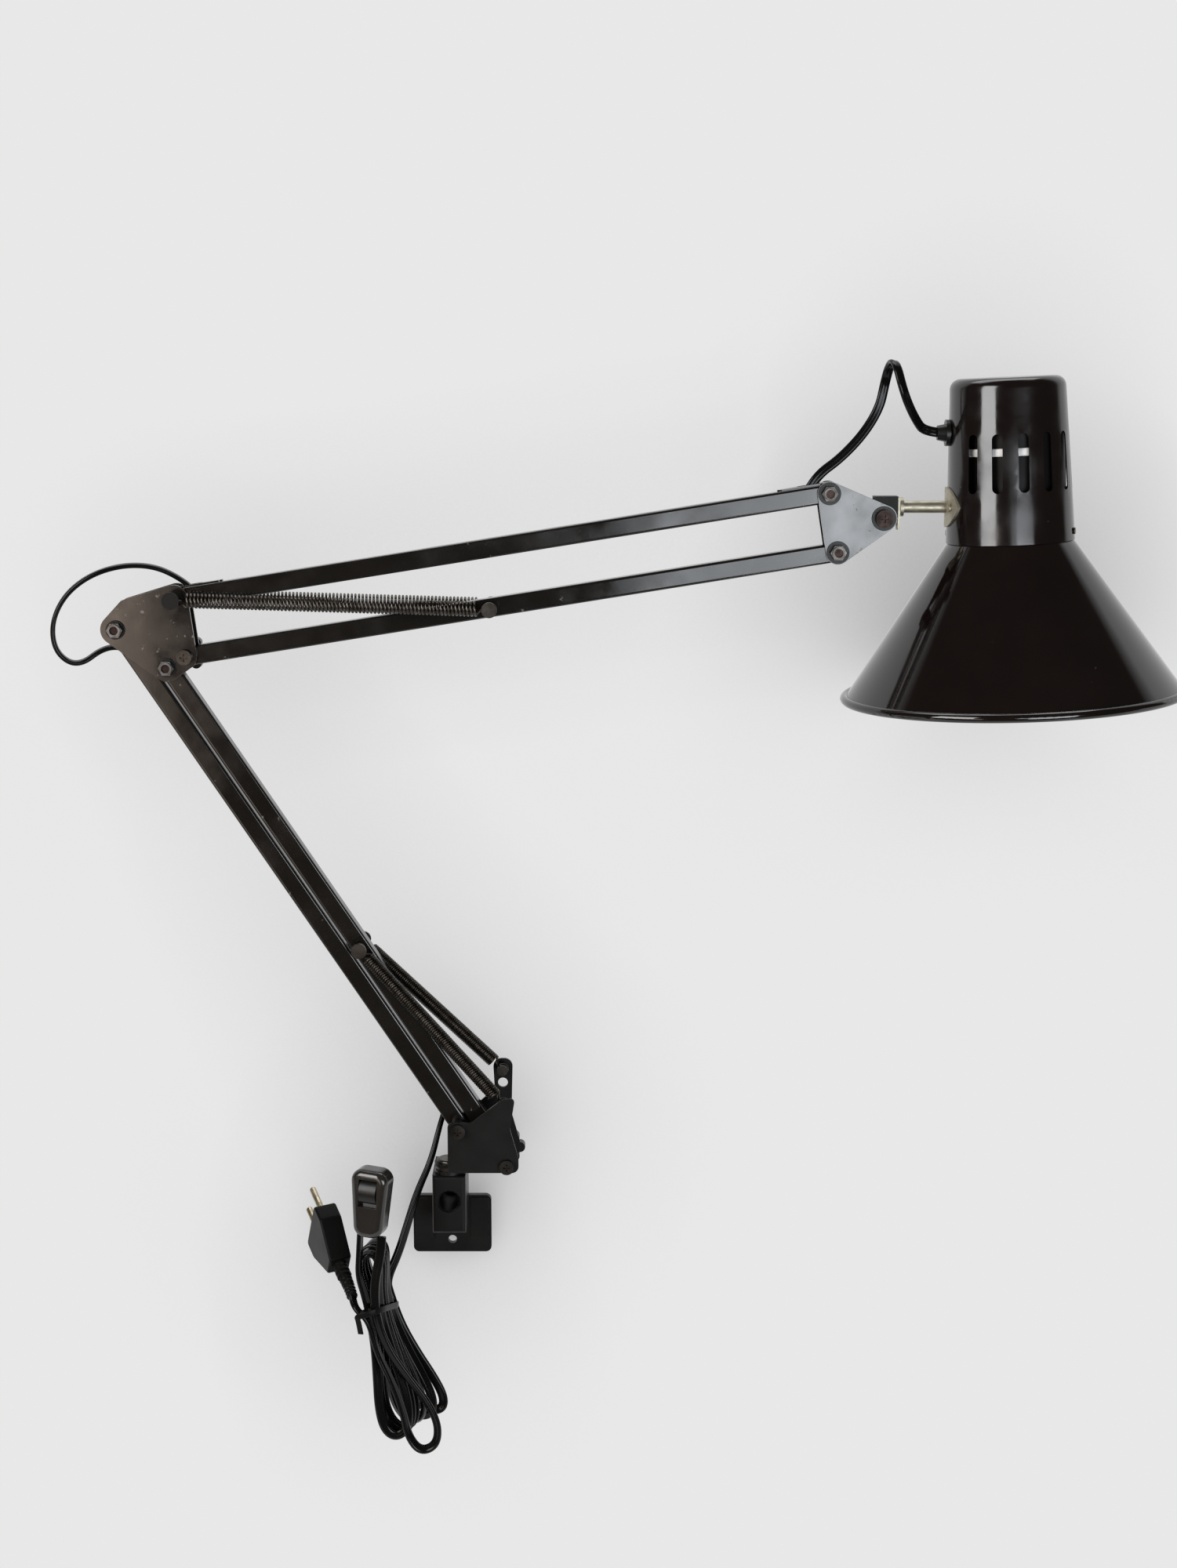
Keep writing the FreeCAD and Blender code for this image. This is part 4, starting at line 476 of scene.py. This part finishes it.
# The lamp holder's shield and its white clip, seen through the cap's slots; the shield is a guessed dark
# sleeve that is partly painted shade, keeping the inside of the cap dark behind the slots
SHIELD_R = 29.8
SHIELD_TOP = 31.0
SHIELD_BOTTOM = -24.0
SHIELD_WALL = 0.8
SHIELD_SIDES = 64
HOLDER_R = 19.05
CLIP_WIDE = 4.4
CLIP_THICK = 1.4
CLIP_R = SHIELD_R + CLIP_THICK / 2
CLIP_UP = 5.4
CLIP_FIRST = -62.0
CLIP_LAST = 20.0
CLIP_STEPS = 24
FLAT_SIDES = 16
cap_middle = middle_of("shade_cap")
# Dark sleeve round the holder: a guessed real piece, and painted shade that keeps the cap's slots dark
shield_with_painted_shade = lathe("holder_shield_with_painted_shade", cap_middle, SHADE_AXIS, [
    (SHIELD_R, SHIELD_BOTTOM),
    (SHIELD_R, SHIELD_TOP),
    (HOLDER_R, SHIELD_TOP),
    (HOLDER_R, SHIELD_TOP - SHIELD_WALL),
    (SHIELD_R - SHIELD_WALL, SHIELD_TOP - SHIELD_WALL),
    (SHIELD_R - SHIELD_WALL, SHIELD_BOTTOM),
], SHIELD_SIDES, "holder_dark")
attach(shield_with_painted_shade, "shade")
cap_front = Vector((0, -1, 0))
cap_right = SHADE_AXIS.cross(cap_front)
clip_line = []
for i in range(CLIP_STEPS + 1):
    angle = math.radians(CLIP_FIRST + (CLIP_LAST - CLIP_FIRST) * i / CLIP_STEPS)
    radial = cap_front * math.cos(angle) + cap_right * math.sin(angle)
    clip_line.append(cap_middle + (radial * CLIP_R + SHADE_AXIS * CLIP_UP) * MM)
clip_section = flat_section(CLIP_WIDE * MM, CLIP_THICK * MM, FLAT_SIDES)
clip = skin("holder_clip", frames(clip_line, SHADE_AXIS), clip_section, "holder_white")
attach(clip, "shade")


# Cord routes, close to the solids' own points
CORD_WIDTH = 5.6 * MM
CORD_THICK = 3.1 * MM
CORD_SIDES = 20
CORD_SECTION = twin_section(CORD_WIDTH, CORD_THICK, CORD_SIDES)
CORD_STEPS = 10
LEAD_TWIST = 9.0
PLUG_LEAD_TWIST = 6.0
EXIT_SETBACK = 14.0 * MM
EXIT_RUN = 15.0 * MM
EXIT_ANGLE = 50.0


def exit_points(pivot, aim, side):
    """Points where the cord leaves a tube near a pivot: on the axis, at its bend, and outside."""
    bend = pivot + aim * EXIT_SETBACK
    angle = math.radians(EXIT_ANGLE)
    outside = bend + (aim * -math.cos(angle) + side * math.sin(angle)) * EXIT_RUN
    return [bend + aim * EXIT_RUN, bend, outside]


BASE_EXIT = exit_points(BASE_LEFT, LOWER_AIM, LOWER_SIDE)
ELBOW_LOWER_EXIT = exit_points(ELBOW_LEFT, LOWER_AIM * -1, LOWER_SIDE)
ELBOW_UPPER_EXIT = exit_points(ELBOW_TOP, UPPER_AIM, UPPER_SIDE)
HEAD_EXIT = exit_points(HEAD_TOP, UPPER_AIM * -1, UPPER_SIDE)

HANK_X = -40.0
HANK_Y = -36.0
HANK_Z = -36.5
HANK_LEAN = 12.0
HANK_LOOPS = 6
HANK_PITCH = 5.0
HANK_SHEAR = 0.15
HANK_ABOVE = 37.0
HANK_BELOW = 78.0
HANK_WAIST = 2.9
HANK_SPREAD_ABOVE = 14.0
HANK_SHIFT_ABOVE = 3.5
HANK_SPREAD_BELOW = 2.8
HANK_FAN_FIRST = 19.0
HANK_FAN_LAST = -4.0
HANK_START = math.acos((HANK_BELOW - HANK_ABOVE) / (HANK_BELOW + HANK_ABOVE)) / (2 * math.pi)
HANK_END = HANK_LOOPS - HANK_START
HANK_POINTS_PER_TURN = 18
SMALL_TURN = 1e-4
LEAD_GAP = 1.1
LEAD_DEPTH = HANK_PITCH * (HANK_LOOPS / 2 - HANK_END - LEAD_GAP)


def hank_place(along, lateral, depth):
    """A point of the hank: along it from the tie, to its right, and in depth, where it leans to the right."""
    down = toward(-90.0 + HANK_LEAN)
    right = toward(HANK_LEAN)
    step = down * along + right * (lateral + depth * HANK_SHEAR)
    return arm(HANK_X, HANK_Z, HANK_Y + depth) + step * MM


def hank_path(turn):
    """The hank's centre line: long loops, drawn in at the tie, fanned out below, stacked to the front."""
    half = (HANK_ABOVE + HANK_BELOW) / 2
    angle = 2 * math.pi * turn
    along = half - HANK_ABOVE - half * math.cos(angle)
    opening = HANK_SPREAD_BELOW if along > 0 else HANK_SPREAD_ABOVE
    lateral = math.sin(angle) * HANK_WAIST * (1 + opening * (along / half) ** 2)
    if along > 0:
        fan = HANK_FAN_LAST + (HANK_FAN_FIRST - HANK_FAN_LAST) * (1 - turn / HANK_LOOPS) ** 2
        lateral += fan * (along / HANK_BELOW) ** 2
    else:
        lateral += HANK_SHIFT_ABOVE * (along / HANK_ABOVE) ** 2
    return hank_place(along, lateral, HANK_PITCH * (HANK_LOOPS / 2 - turn))


def hank_run(turn, reach):
    """A point straight on from the hank's centre line."""
    aim = (hank_path(turn + SMALL_TURN) - hank_path(turn - SMALL_TURN)).normalized()
    return hank_path(turn) + aim * reach * MM


def hank_points():
    """Points along the hank from its first strand at the tie to its last."""
    count = math.ceil((HANK_END - HANK_START) * HANK_POINTS_PER_TURN)
    return [hank_path(HANK_START + (HANK_END - HANK_START) * i / count) for i in range(count + 1)]


# The switch and plug stand where their solids are
SWITCH_FOOT = arm(-43.1, 13.6, -53.0)
SWITCH_LEAN = math.radians(3.0)
SWITCH_YAW = math.radians(-18.0)
SWITCH_TURN = Matrix.Rotation(SWITCH_LEAN, 3, "Y") @ Matrix.Rotation(SWITCH_YAW, 3, "Z")
SWITCH_WIDTH = 24.0
LEAD_IN = 0.28 * SWITCH_WIDTH
PLUG_START = arm(-60.0, -20.6, -36.0)
PLUG_AXIS = Vector((-0.405, 0.757, 0.514)).normalized()


def switch_place(lateral, up):
    """A point of the switch, to its right and above its foot."""
    return SWITCH_FOOT + SWITCH_TURN @ Vector((lateral, 0, up)) * MM


lead_points = BASE_EXIT + [
    arm(-10.6, 42.8, -6),
    arm(-19.0, 24.5, -10),
    arm(-24.6, 6.2, -14),
    arm(-30.0, -11.0, -18),
    hank_run(HANK_START, -9),
] + hank_points() + [
    hank_run(HANK_END, 13),
    arm(-50.8, -12, -50.8),
    switch_place(-LEAD_IN, -13),
    switch_place(-LEAD_IN, 0),
]
lead_line = smooth_line(lead_points, CORD_STEPS)
lead = skin("lead_to_switch", frames(lead_line, Vector((0, 1, 0)), LEAD_TWIST), CORD_SECTION, "cord")
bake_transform(lead)
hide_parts("cord_tail", "cord_hank", "cord_switch_lead")

PLUG_LEAD_WAIST = HANK_WAIST * 0.75
PLUG_RUN = 10
plug_lead_points = [
    switch_place(LEAD_IN, 0),
    switch_place(LEAD_IN, -10),
    hank_place(-20, 5.5, LEAD_DEPTH),
    hank_place(0, PLUG_LEAD_WAIST, LEAD_DEPTH),
    hank_place(20, 4.5, LEAD_DEPTH),
    hank_place(40, 12.4, LEAD_DEPTH),
    hank_place(58, 20.4, LEAD_DEPTH),
    hank_place(73, 23.4, LEAD_DEPTH),
    hank_place(85, 19.4, LEAD_DEPTH),
    hank_place(87, 9.4, LEAD_DEPTH),
    hank_place(76, 4.4, LEAD_DEPTH),
    hank_place(60, 4.9, LEAD_DEPTH),
    hank_place(40, 2.5, LEAD_DEPTH),
    hank_place(20, -2.0, LEAD_DEPTH),
    hank_place(0, -PLUG_LEAD_WAIST, LEAD_DEPTH),
    hank_place(-8, -8.5, LEAD_DEPTH),
    PLUG_START - PLUG_AXIS * PLUG_RUN * MM,
    PLUG_START,
]
plug_lead_line = smooth_line(plug_lead_points, 2 * CORD_STEPS)
plug_lead_frames = frames(plug_lead_line, Vector((1, 0, 0)), PLUG_LEAD_TWIST)
plug_lead = skin("lead_to_plug", plug_lead_frames, CORD_SECTION, "cord")
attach(plug_lead, "swivel")
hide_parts("cord_plug_lead")


# Tapered sleeve with ribs on the last part of the lead, up to the plug
RIB_SHARE = 0.55
BOOT_SIDES = 18
UNIT_CIRCLE = round_section(2.0, BOOT_SIDES)


def boot(name, line, length, large, small, rib_pitch, rib):
    """A ribbed sleeve round the end of a line."""
    back = line[::-1]
    runs = [0.0]
    for a, b in zip(back, back[1:]):
        runs.append(runs[-1] + (b - a).length)
    count = sum(1 for run in runs if run < length)
    sizes = []
    for run in runs[:count]:
        taper = large + (small - large) * run / length
        sizes.append(taper + (rib if (run / rib_pitch) % 1 < RIB_SHARE else 0.0))
    piece = skin(name, frames(back[:count]), UNIT_CIRCLE, "plug_pvc", sizes)
    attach(piece, "swivel")
    return piece


plug_boot = boot("plug_boot", plug_lead_line, length=14 * MM, large=3.6 * MM, small=2.9 * MM,
                 rib_pitch=2.4 * MM, rib=0.35 * MM)

# The strap that ties the hank, once round its strands, with its end left free
STRAP_WIDE = 3.6 * MM
STRAP_THICK = 1.0 * MM
STRAP_HALF = 7.0
STRAP_STEPS = 12
STRAP_FRONT = LEAD_DEPTH - 4.0
STRAP_REAR = HANK_PITCH * (HANK_LOOPS / 2 - HANK_START) + 4.0
STRAP_MIDDLE = (STRAP_FRONT + STRAP_REAR) / 2
STRAP_UP = -5.0
STRAP_DOWN = 8.0
STRAP_HALFWAY = (STRAP_UP + STRAP_DOWN) / 2
strap_points = [
    hank_place(STRAP_UP, -3.0, STRAP_FRONT),
    hank_place(STRAP_UP, -STRAP_HALF, STRAP_FRONT + 2.5),
    hank_place(STRAP_HALFWAY, -STRAP_HALF, STRAP_MIDDLE),
    hank_place(STRAP_DOWN, -STRAP_HALF, STRAP_REAR - 2.5),
    hank_place(STRAP_DOWN, 0.0, STRAP_REAR + 0.5),
    hank_place(STRAP_DOWN, STRAP_HALF, STRAP_REAR - 2.5),
    hank_place(STRAP_HALFWAY, STRAP_HALF, STRAP_MIDDLE),
    hank_place(STRAP_UP, STRAP_HALF, STRAP_FRONT + 2.5),
    hank_place(STRAP_UP, 0.0, STRAP_FRONT - 0.8),
    hank_place(STRAP_UP + 0.5, -STRAP_HALF - 0.5, STRAP_FRONT + 0.5),
    hank_place(STRAP_UP + 4.0, -STRAP_HALF - 0.4, STRAP_FRONT + 1.5),
    hank_place(STRAP_UP + 12.0, -STRAP_HALF - 1.0, STRAP_FRONT + 2.0),
]
strap_frames = frames(smooth_line(strap_points, STRAP_STEPS), toward(-90.0 + HANK_LEAN))
strap = skin("hank_strap", strap_frames, flat_section(STRAP_WIDE, STRAP_THICK, FLAT_SIDES), "plug_pvc")
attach(strap, "swivel")
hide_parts("hank_tie")


# The cord's loops at the elbow and the head, given from the pivots and the gland beside them
ELBOW_LOOP_FROM_TOP = [(-12.0, 19.0, -3.0), (-30.0, 19.5, -6.0)]
ELBOW_LOOP_FROM_LEFT = [
    (-14.0, 31.5, -8.0),
    (-28.5, 20.0, -9.0),
    (-36.5, 3.5, -9.0),
    (-35.0, -13.5, -7.0),
    (-23.0, -22.0, -4.0),
]
HEAD_LOOP_FROM_TOP = [
    (6.5, 19.5, 2.0),
    (20.0, 33.5, 4.0),
    (29.0, 48.5, 5.0),
    (31.5, 62.0, 4.0),
    (32.9, 70.5, -1.0),
    (34.4, 75.0, -9.0),
]
HEAD_LOOP_FROM_GLAND = [(-32.5, 37.0, -17.0), (-30.0, 27.0, -19.0), (-26.5, 18.0, -16.0), (-21.0, 8.5, -9.0)]
elbow_side = beside(ELBOW_LEFT, ELBOW_LOOP_FROM_LEFT)
elbow_rise = beside(ELBOW_TOP, ELBOW_LOOP_FROM_TOP)
elbow_line = smooth_line(ELBOW_UPPER_EXIT + elbow_rise + elbow_side + ELBOW_LOWER_EXIT[::-1], CORD_STEPS)
GLAND_INSET = 4 * MM
GLAND_LENGTH = 14 * MM
gland_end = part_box("cord_gland")[1].x
GLAND = Vector((gland_end - GLAND_INSET, ARM_Y * MM, middle_of("cord_gland").z))
GLAND_MOUTH = GLAND - Vector((GLAND_LENGTH, 0, 0))
head_rise = beside(HEAD_TOP, HEAD_LOOP_FROM_TOP)
head_fall = beside(GLAND, HEAD_LOOP_FROM_GLAND)
head_line = smooth_line(HEAD_EXIT + head_rise + head_fall + [GLAND_MOUTH, GLAND], CORD_STEPS)


def nearest_index(line, place):
    """The index of the line's point that is nearest to a place."""
    return min(range(len(line)), key=lambda i: (line[i] - place).length)


def loop_pieces(line, wide, stretches, stands_for):
    """A loop of the cord in stretches, each a tube from one index of the line to the next."""
    loop_frames = frames(line, wide)
    for name, first, last, bodies, start, end in stretches:
        piece = skin(name, loop_frames[first:last + 1], CORD_SECTION, "cord")
        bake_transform(piece)
        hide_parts(stands_for)


elbow_split = nearest_index(elbow_line, elbow_side[0])
elbow_end = len(elbow_line) - 1
elbow_turn = elbow_line[elbow_split]
loop_pieces(elbow_line, Vector((0, 1, 0)), [
    ("elbow_loop_upper", 0, elbow_split, ("upper_main", "elbow"), ELBOW_UPPER_EXIT[1], elbow_turn),
    ("elbow_loop_lower", elbow_split, elbow_end, ("elbow", "lower_main"), elbow_turn, ELBOW_LOWER_EXIT[2]),
], "cord_elbow_loop")
head_first = nearest_index(head_line, head_rise[0])
head_second = nearest_index(head_line, (head_rise[-1] + head_fall[0]) / 2)
head_end = len(head_line) - 1
head_turn = head_line[head_first]
head_top = head_line[head_second]
loop_pieces(head_line, UPPER_SIDE, [
    ("head_loop_arm", 0, head_first, ("upper_main", "head"), HEAD_EXIT[1], head_turn),
    ("head_loop_top", head_first, head_second, ("head", "tilt"), head_turn, head_rise[4]),
    ("head_loop_shade", head_second, head_end, ("tilt", "shade"), head_top, GLAND_MOUTH),
], "cord_head_loop")


def inner_run(name, start, end, body, stands_for):
    """The cord's straight run inside an arm's tube."""
    line = [start, (start + end) / 2, end]
    piece = skin(name, frames(line, Vector((0, 1, 0))), CORD_SECTION, "cord")
    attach(piece, body)
    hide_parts(stands_for)


inner_run("lower_run", BASE_EXIT[0], ELBOW_LOWER_EXIT[0], "lower_main", "cord_lower_run")
inner_run("upper_run", ELBOW_UPPER_EXIT[0], HEAD_EXIT[0], "upper_main", "cord_upper_run")


# Springs with their full number of turns and their end loops
WIRE_D = 1.45 * MM
WIRE_SIDES = 8
WIRE_SECTION = round_section(WIRE_D, WIRE_SIDES)
LOWER_COIL_D = 8.6 * MM
UPPER_COIL_D = 9.0 * MM
SPRING_TURNS = 78
POINTS_PER_TURN = 16
HOOK_R = 2.9 * MM
HOOK_POINTS = 14
HOOK_START = -60
HOOK_SWEEP = 240
HOOK_REACH = 0.55
RISE_POINTS = 6


def spring(name, start, end, coil_d, look, stands_for):
    """A tension spring hooked round two pins."""
    along = (end - start).normalized()
    depth = Vector((0, 1, 0))
    side = depth.cross(along)
    mean_r = (coil_d - WIRE_D) / 2
    lead_in = HOOK_R + coil_d * HOOK_REACH
    coil = (end - start).length - 2 * lead_in

    def hook(pin, outward):
        """Points round a pin, and up to the coil's edge."""
        points = []
        for i in range(HOOK_POINTS):
            angle = math.radians(HOOK_START + HOOK_SWEEP * i / (HOOK_POINTS - 1))
            points.append(pin + outward * HOOK_R * math.cos(angle) + side * HOOK_R * math.sin(angle))
        for i in range(1, RISE_POINTS):
            share = i / RISE_POINTS
            reach = HOOK_R + (lead_in - HOOK_R) * share
            points.append(pin - outward * reach + side * mean_r * share * share)
        return points

    line = hook(start, along * -1)
    steps = POINTS_PER_TURN * SPRING_TURNS
    for i in range(steps + 1):
        turn = 2 * math.pi * i * SPRING_TURNS / steps
        radial = side * math.cos(turn) + depth * math.sin(turn)
        line.append(start + along * (lead_in + coil * i / steps) + radial * mean_r)
    line += reversed(hook(end, along))
    piece = skin(name, frames(line), WIRE_SECTION, look)
    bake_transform(piece)
    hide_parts(stands_for)


def level_with(place, node):
    """A place of the arms' plane, moved to the depth of a spring's solid."""
    return Vector((place.x, middle_of(node).y, place.z))


for end_name in ("front", "rear"):
    node = "lower_spring_" + end_name
    anchor = level_with(middle_of("spring_anchor_" + end_name), node)
    post = level_with(middle_of("lower_spring_post"), node)
    spring("lower_spring_wire_" + end_name, anchor, post, LOWER_COIL_D, "dark_wire",
           node)
    node = "upper_spring_" + end_name
    anchor = level_with(ELBOW_TOP, node)
    post = level_with(middle_of("upper_spring_post"), node)
    spring("upper_spring_wire_" + end_name, anchor, post, UPPER_COIL_D, "spring_wire",
           node)


# Stage: a pale floor and world, and a clear sheet behind the lamp with painted shade, darker where the lamp
# is near
PALE = 0.807
FLOOR_ROUGH = 0.9
FLOOR_Z = -0.42
FLOOR_FRONT = -0.6
FLOOR_BACK = 12
FLOOR_SIDE = 8
SHADOW_X = 0.1
SHADOW_SHARE = 0.5
SHADOW_LIMITS = (0.1, 0.36)
# The sheet of painted shade: its depths, sides and top, where it fades out near the floor, and how far and
# how dark its darkening reaches
SHEET_NEAR = 0.012
SHEET_FAR = 0.082
SHEET_LEFT = -0.8
SHEET_RIGHT = 1.0
SHEET_TOP = 1.2
SHEET_FADE = -0.27
SHEET_FADE_RUN = 0.1
SHEET_REACH = 0.14
SHEET_DARK = grey(0.15)
SHEET_BEND = -0.05
SHEET_STRAIGHT = 0.31
SHEET_STEPS = 24
SHEET_SAMPLES = 24


def stage_strip(name, left, right, profile, material):
    """A sheet between two x places whose profile gives y and z."""
    verts = []
    for y, z in profile:
        verts += [(left, y, z), (right, y, z)]
    faces = [(2 * i, 2 * i + 1, 2 * i + 3, 2 * i + 2) for i in range(len(profile) - 1)]
    mesh = bpy.data.meshes.new(name)
    mesh.from_pydata(verts, [], faces)
    mesh.shade_smooth()
    mesh.materials.append(material)
    surface = bpy.data.objects.new(name, mesh)
    scene.collection.objects.link(surface)


def seen_rays(tree, names):
    """1 for the named kinds of ray, 0 for the others."""
    path = tree.nodes.new("ShaderNodeLightPath")
    seen = path.outputs[names[0]]
    for name in names[1:]:
        seen = reckon(tree, "MAXIMUM", seen, path.outputs[name])
    return seen


def mixed(tree, share, first, second):
    """A shader between two shaders."""
    node = tree.nodes.new("ShaderNodeMixShader")
    tree.links.new(share, node.inputs[0])
    tree.links.new(first, node.inputs[1])
    tree.links.new(second, node.inputs[2])
    return node.outputs[0]


floor_material, floor_bsdf, floor_tree = shader("floor")
floor_bsdf.inputs["Base Color"].default_value = grey(PALE)
floor_bsdf.inputs["Roughness"].default_value = FLOOR_ROUGH
glow = floor_tree.nodes.new("ShaderNodeEmission")
glow.inputs["Color"].default_value = grey(PALE)
geometry = floor_tree.nodes.new("ShaderNodeNewGeometry")
away = floor_tree.nodes.new("ShaderNodeVectorMath")
away.operation = "DISTANCE"
away.inputs[1].default_value = (SHADOW_X, ARM_Y * MM, FLOOR_Z)
floor_tree.links.new(geometry.outputs["Position"], away.inputs[0])
glow_share = spread(floor_tree, away.outputs["Value"], SHADOW_SHARE, 1.0, *SHADOW_LIMITS)
shown = seen_rays(floor_tree, ["Is Camera Ray", "Is Glossy Ray", "Is Transmission Ray"])
glow_share = reckon(floor_tree, "MULTIPLY", shown, glow_share)
from_above = mixed(floor_tree, glow_share, floor_bsdf.outputs[0], glow.outputs[0])
open_below = floor_tree.nodes.new("ShaderNodeBsdfTransparent")
floor_shader = mixed(floor_tree, geometry.outputs["Backfacing"], from_above, open_below.outputs[0])
floor_tree.links.new(floor_shader, floor_tree.nodes["Material Output"].inputs["Surface"])
floor_profile = [(FLOOR_FRONT, FLOOR_Z), (FLOOR_BACK, FLOOR_Z)]
stage_strip("floor", -FLOOR_SIDE, FLOOR_SIDE, floor_profile, floor_material)

sheet_material, sheet_bsdf, sheet_tree = shader("painted_shade_sheet")
sheet_tree.nodes.remove(sheet_bsdf)
# Painted shade: seen from the front, the sheet darkens what lies behind it where the lamp is near, by ambient
# occlusion
closeness = sheet_tree.nodes.new("ShaderNodeAmbientOcclusion")
closeness.samples = SHEET_SAMPLES
closeness.inputs["Distance"].default_value = SHEET_REACH
clear = sheet_tree.nodes.new("ShaderNodeBsdfTransparent")
tint = sheet_tree.nodes.new("ShaderNodeBsdfTransparent")
painted_shade = between(sheet_tree, closeness.outputs["AO"], SHEET_DARK, grey(1.0))
sheet_tree.links.new(painted_shade, tint.inputs["Color"])
sheet_side = sheet_tree.nodes.new("ShaderNodeNewGeometry")
sheet_place = sheet_tree.nodes.new("ShaderNodeSeparateXYZ")
sheet_tree.links.new(sheet_side.outputs["Position"], sheet_place.inputs[0])
shown = seen_rays(sheet_tree, ["Is Camera Ray"])
shown = reckon(sheet_tree, "SUBTRACT", shown, sheet_side.outputs["Backfacing"])
sheet_fade_end = SHEET_FADE + SHEET_FADE_RUN
above_floor = spread(sheet_tree, sheet_place.outputs["Z"], 0.0, 1.0, SHEET_FADE, sheet_fade_end)
shown = reckon(sheet_tree, "MULTIPLY", shown, above_floor)
sheet_shader = mixed(sheet_tree, shown, clear.outputs[0], tint.outputs[0])
sheet_tree.links.new(sheet_shader, sheet_tree.nodes["Material Output"].inputs["Surface"])
sheet_profile = [(SHEET_NEAR, FLOOR_Z)]
for i in range(SHEET_STEPS + 1):
    share = i / SHEET_STEPS
    depth = SHEET_NEAR + (SHEET_FAR - SHEET_NEAR) * share * share * (3 - 2 * share)
    sheet_profile.append((depth, SHEET_BEND + (SHEET_STRAIGHT - SHEET_BEND) * share))
sheet_profile.append((SHEET_FAR, SHEET_TOP))
stage_strip("painted_shade_sheet", SHEET_LEFT, SHEET_RIGHT, sheet_profile, sheet_material)

ROOM = (0.055, 0.047, 0.041, 1)
BEHIND_LIMITS = (0.2, 0.38)
world = bpy.data.worlds.new("studio")
world.use_nodes = True
scene.world = world
tree = world.node_tree
background = tree.nodes["Background"]
direction = tree.nodes.new("ShaderNodeTexCoord")
parts = tree.nodes.new("ShaderNodeSeparateXYZ")
tree.links.new(direction.outputs["Generated"], parts.inputs[0])
behind = spread(tree, parts.outputs["Y"], 0.0, 1.0, *BEHIND_LIMITS)
mirrored = reckon(tree, "MULTIPLY", seen_rays(tree, ["Is Glossy Ray"]), behind)
pale_share = reckon(tree, "MAXIMUM", seen_rays(tree, ["Is Camera Ray", "Is Transmission Ray"]), mirrored)
tree.links.new(between(tree, pale_share, ROOM, grey(PALE)), background.inputs["Color"])


# Light and camera
def softbox(name, place, target, size, radiance, colour=(1, 1, 1)):
    """A rectangular lamp that points at a target, of a given brightness per area."""
    data = bpy.data.lights.new(name, "AREA")
    data.shape = "RECTANGLE"
    data.size = size[0]
    data.size_y = size[1]
    data.energy = radiance * math.pi * size[0] * size[1]
    data.color = colour
    lamp = bpy.data.objects.new(name, data)
    lamp.location = place
    lamp.rotation_euler = (Vector(target) - Vector(place)).to_track_quat("-Z", "Y").to_euler()
    scene.collection.objects.link(lamp)


COOL = (0.90, 0.95, 1.0)
BROWN = (1.0, 0.80, 0.66)
softbox("left_window", (-1.09, -1.31, 0.92), (0.45, -0.16, 0.92), size=(0.94, 1.25), radiance=7.6)
softbox("right_window", (0.78, -1.45, 0.08), (0.78, 0, 0.08), size=(0.84, 0.76), radiance=7.0, colour=COOL)
softbox("right_dim", (0.25, -1.45, 0.31), (0.25, 0, 0.31), size=(0.22, 0.22), radiance=4.2, colour=COOL)
softbox("left_low", (-0.82, -1.45, -0.02), (-0.82, 0, -0.02), size=(0.76, 0.66), radiance=2.4, colour=BROWN)
softbox("above", (0.1, 0.35, 1.9), (0.1, 0, 0.3), size=(1.8, 0.7), radiance=3.0)

CAMERA_PLACE = (0.0839, -1.386, 0.5111)
CAMERA_PITCH = math.radians(80)
camera_data = bpy.data.cameras.new("camera")
camera_data.lens = 54.0
camera_data.sensor_width = 36.0
camera = bpy.data.objects.new("camera", camera_data)
camera.location = CAMERA_PLACE
camera.rotation_euler = (CAMERA_PITCH, 0, 0)
scene.collection.objects.link(camera)
scene.camera = camera
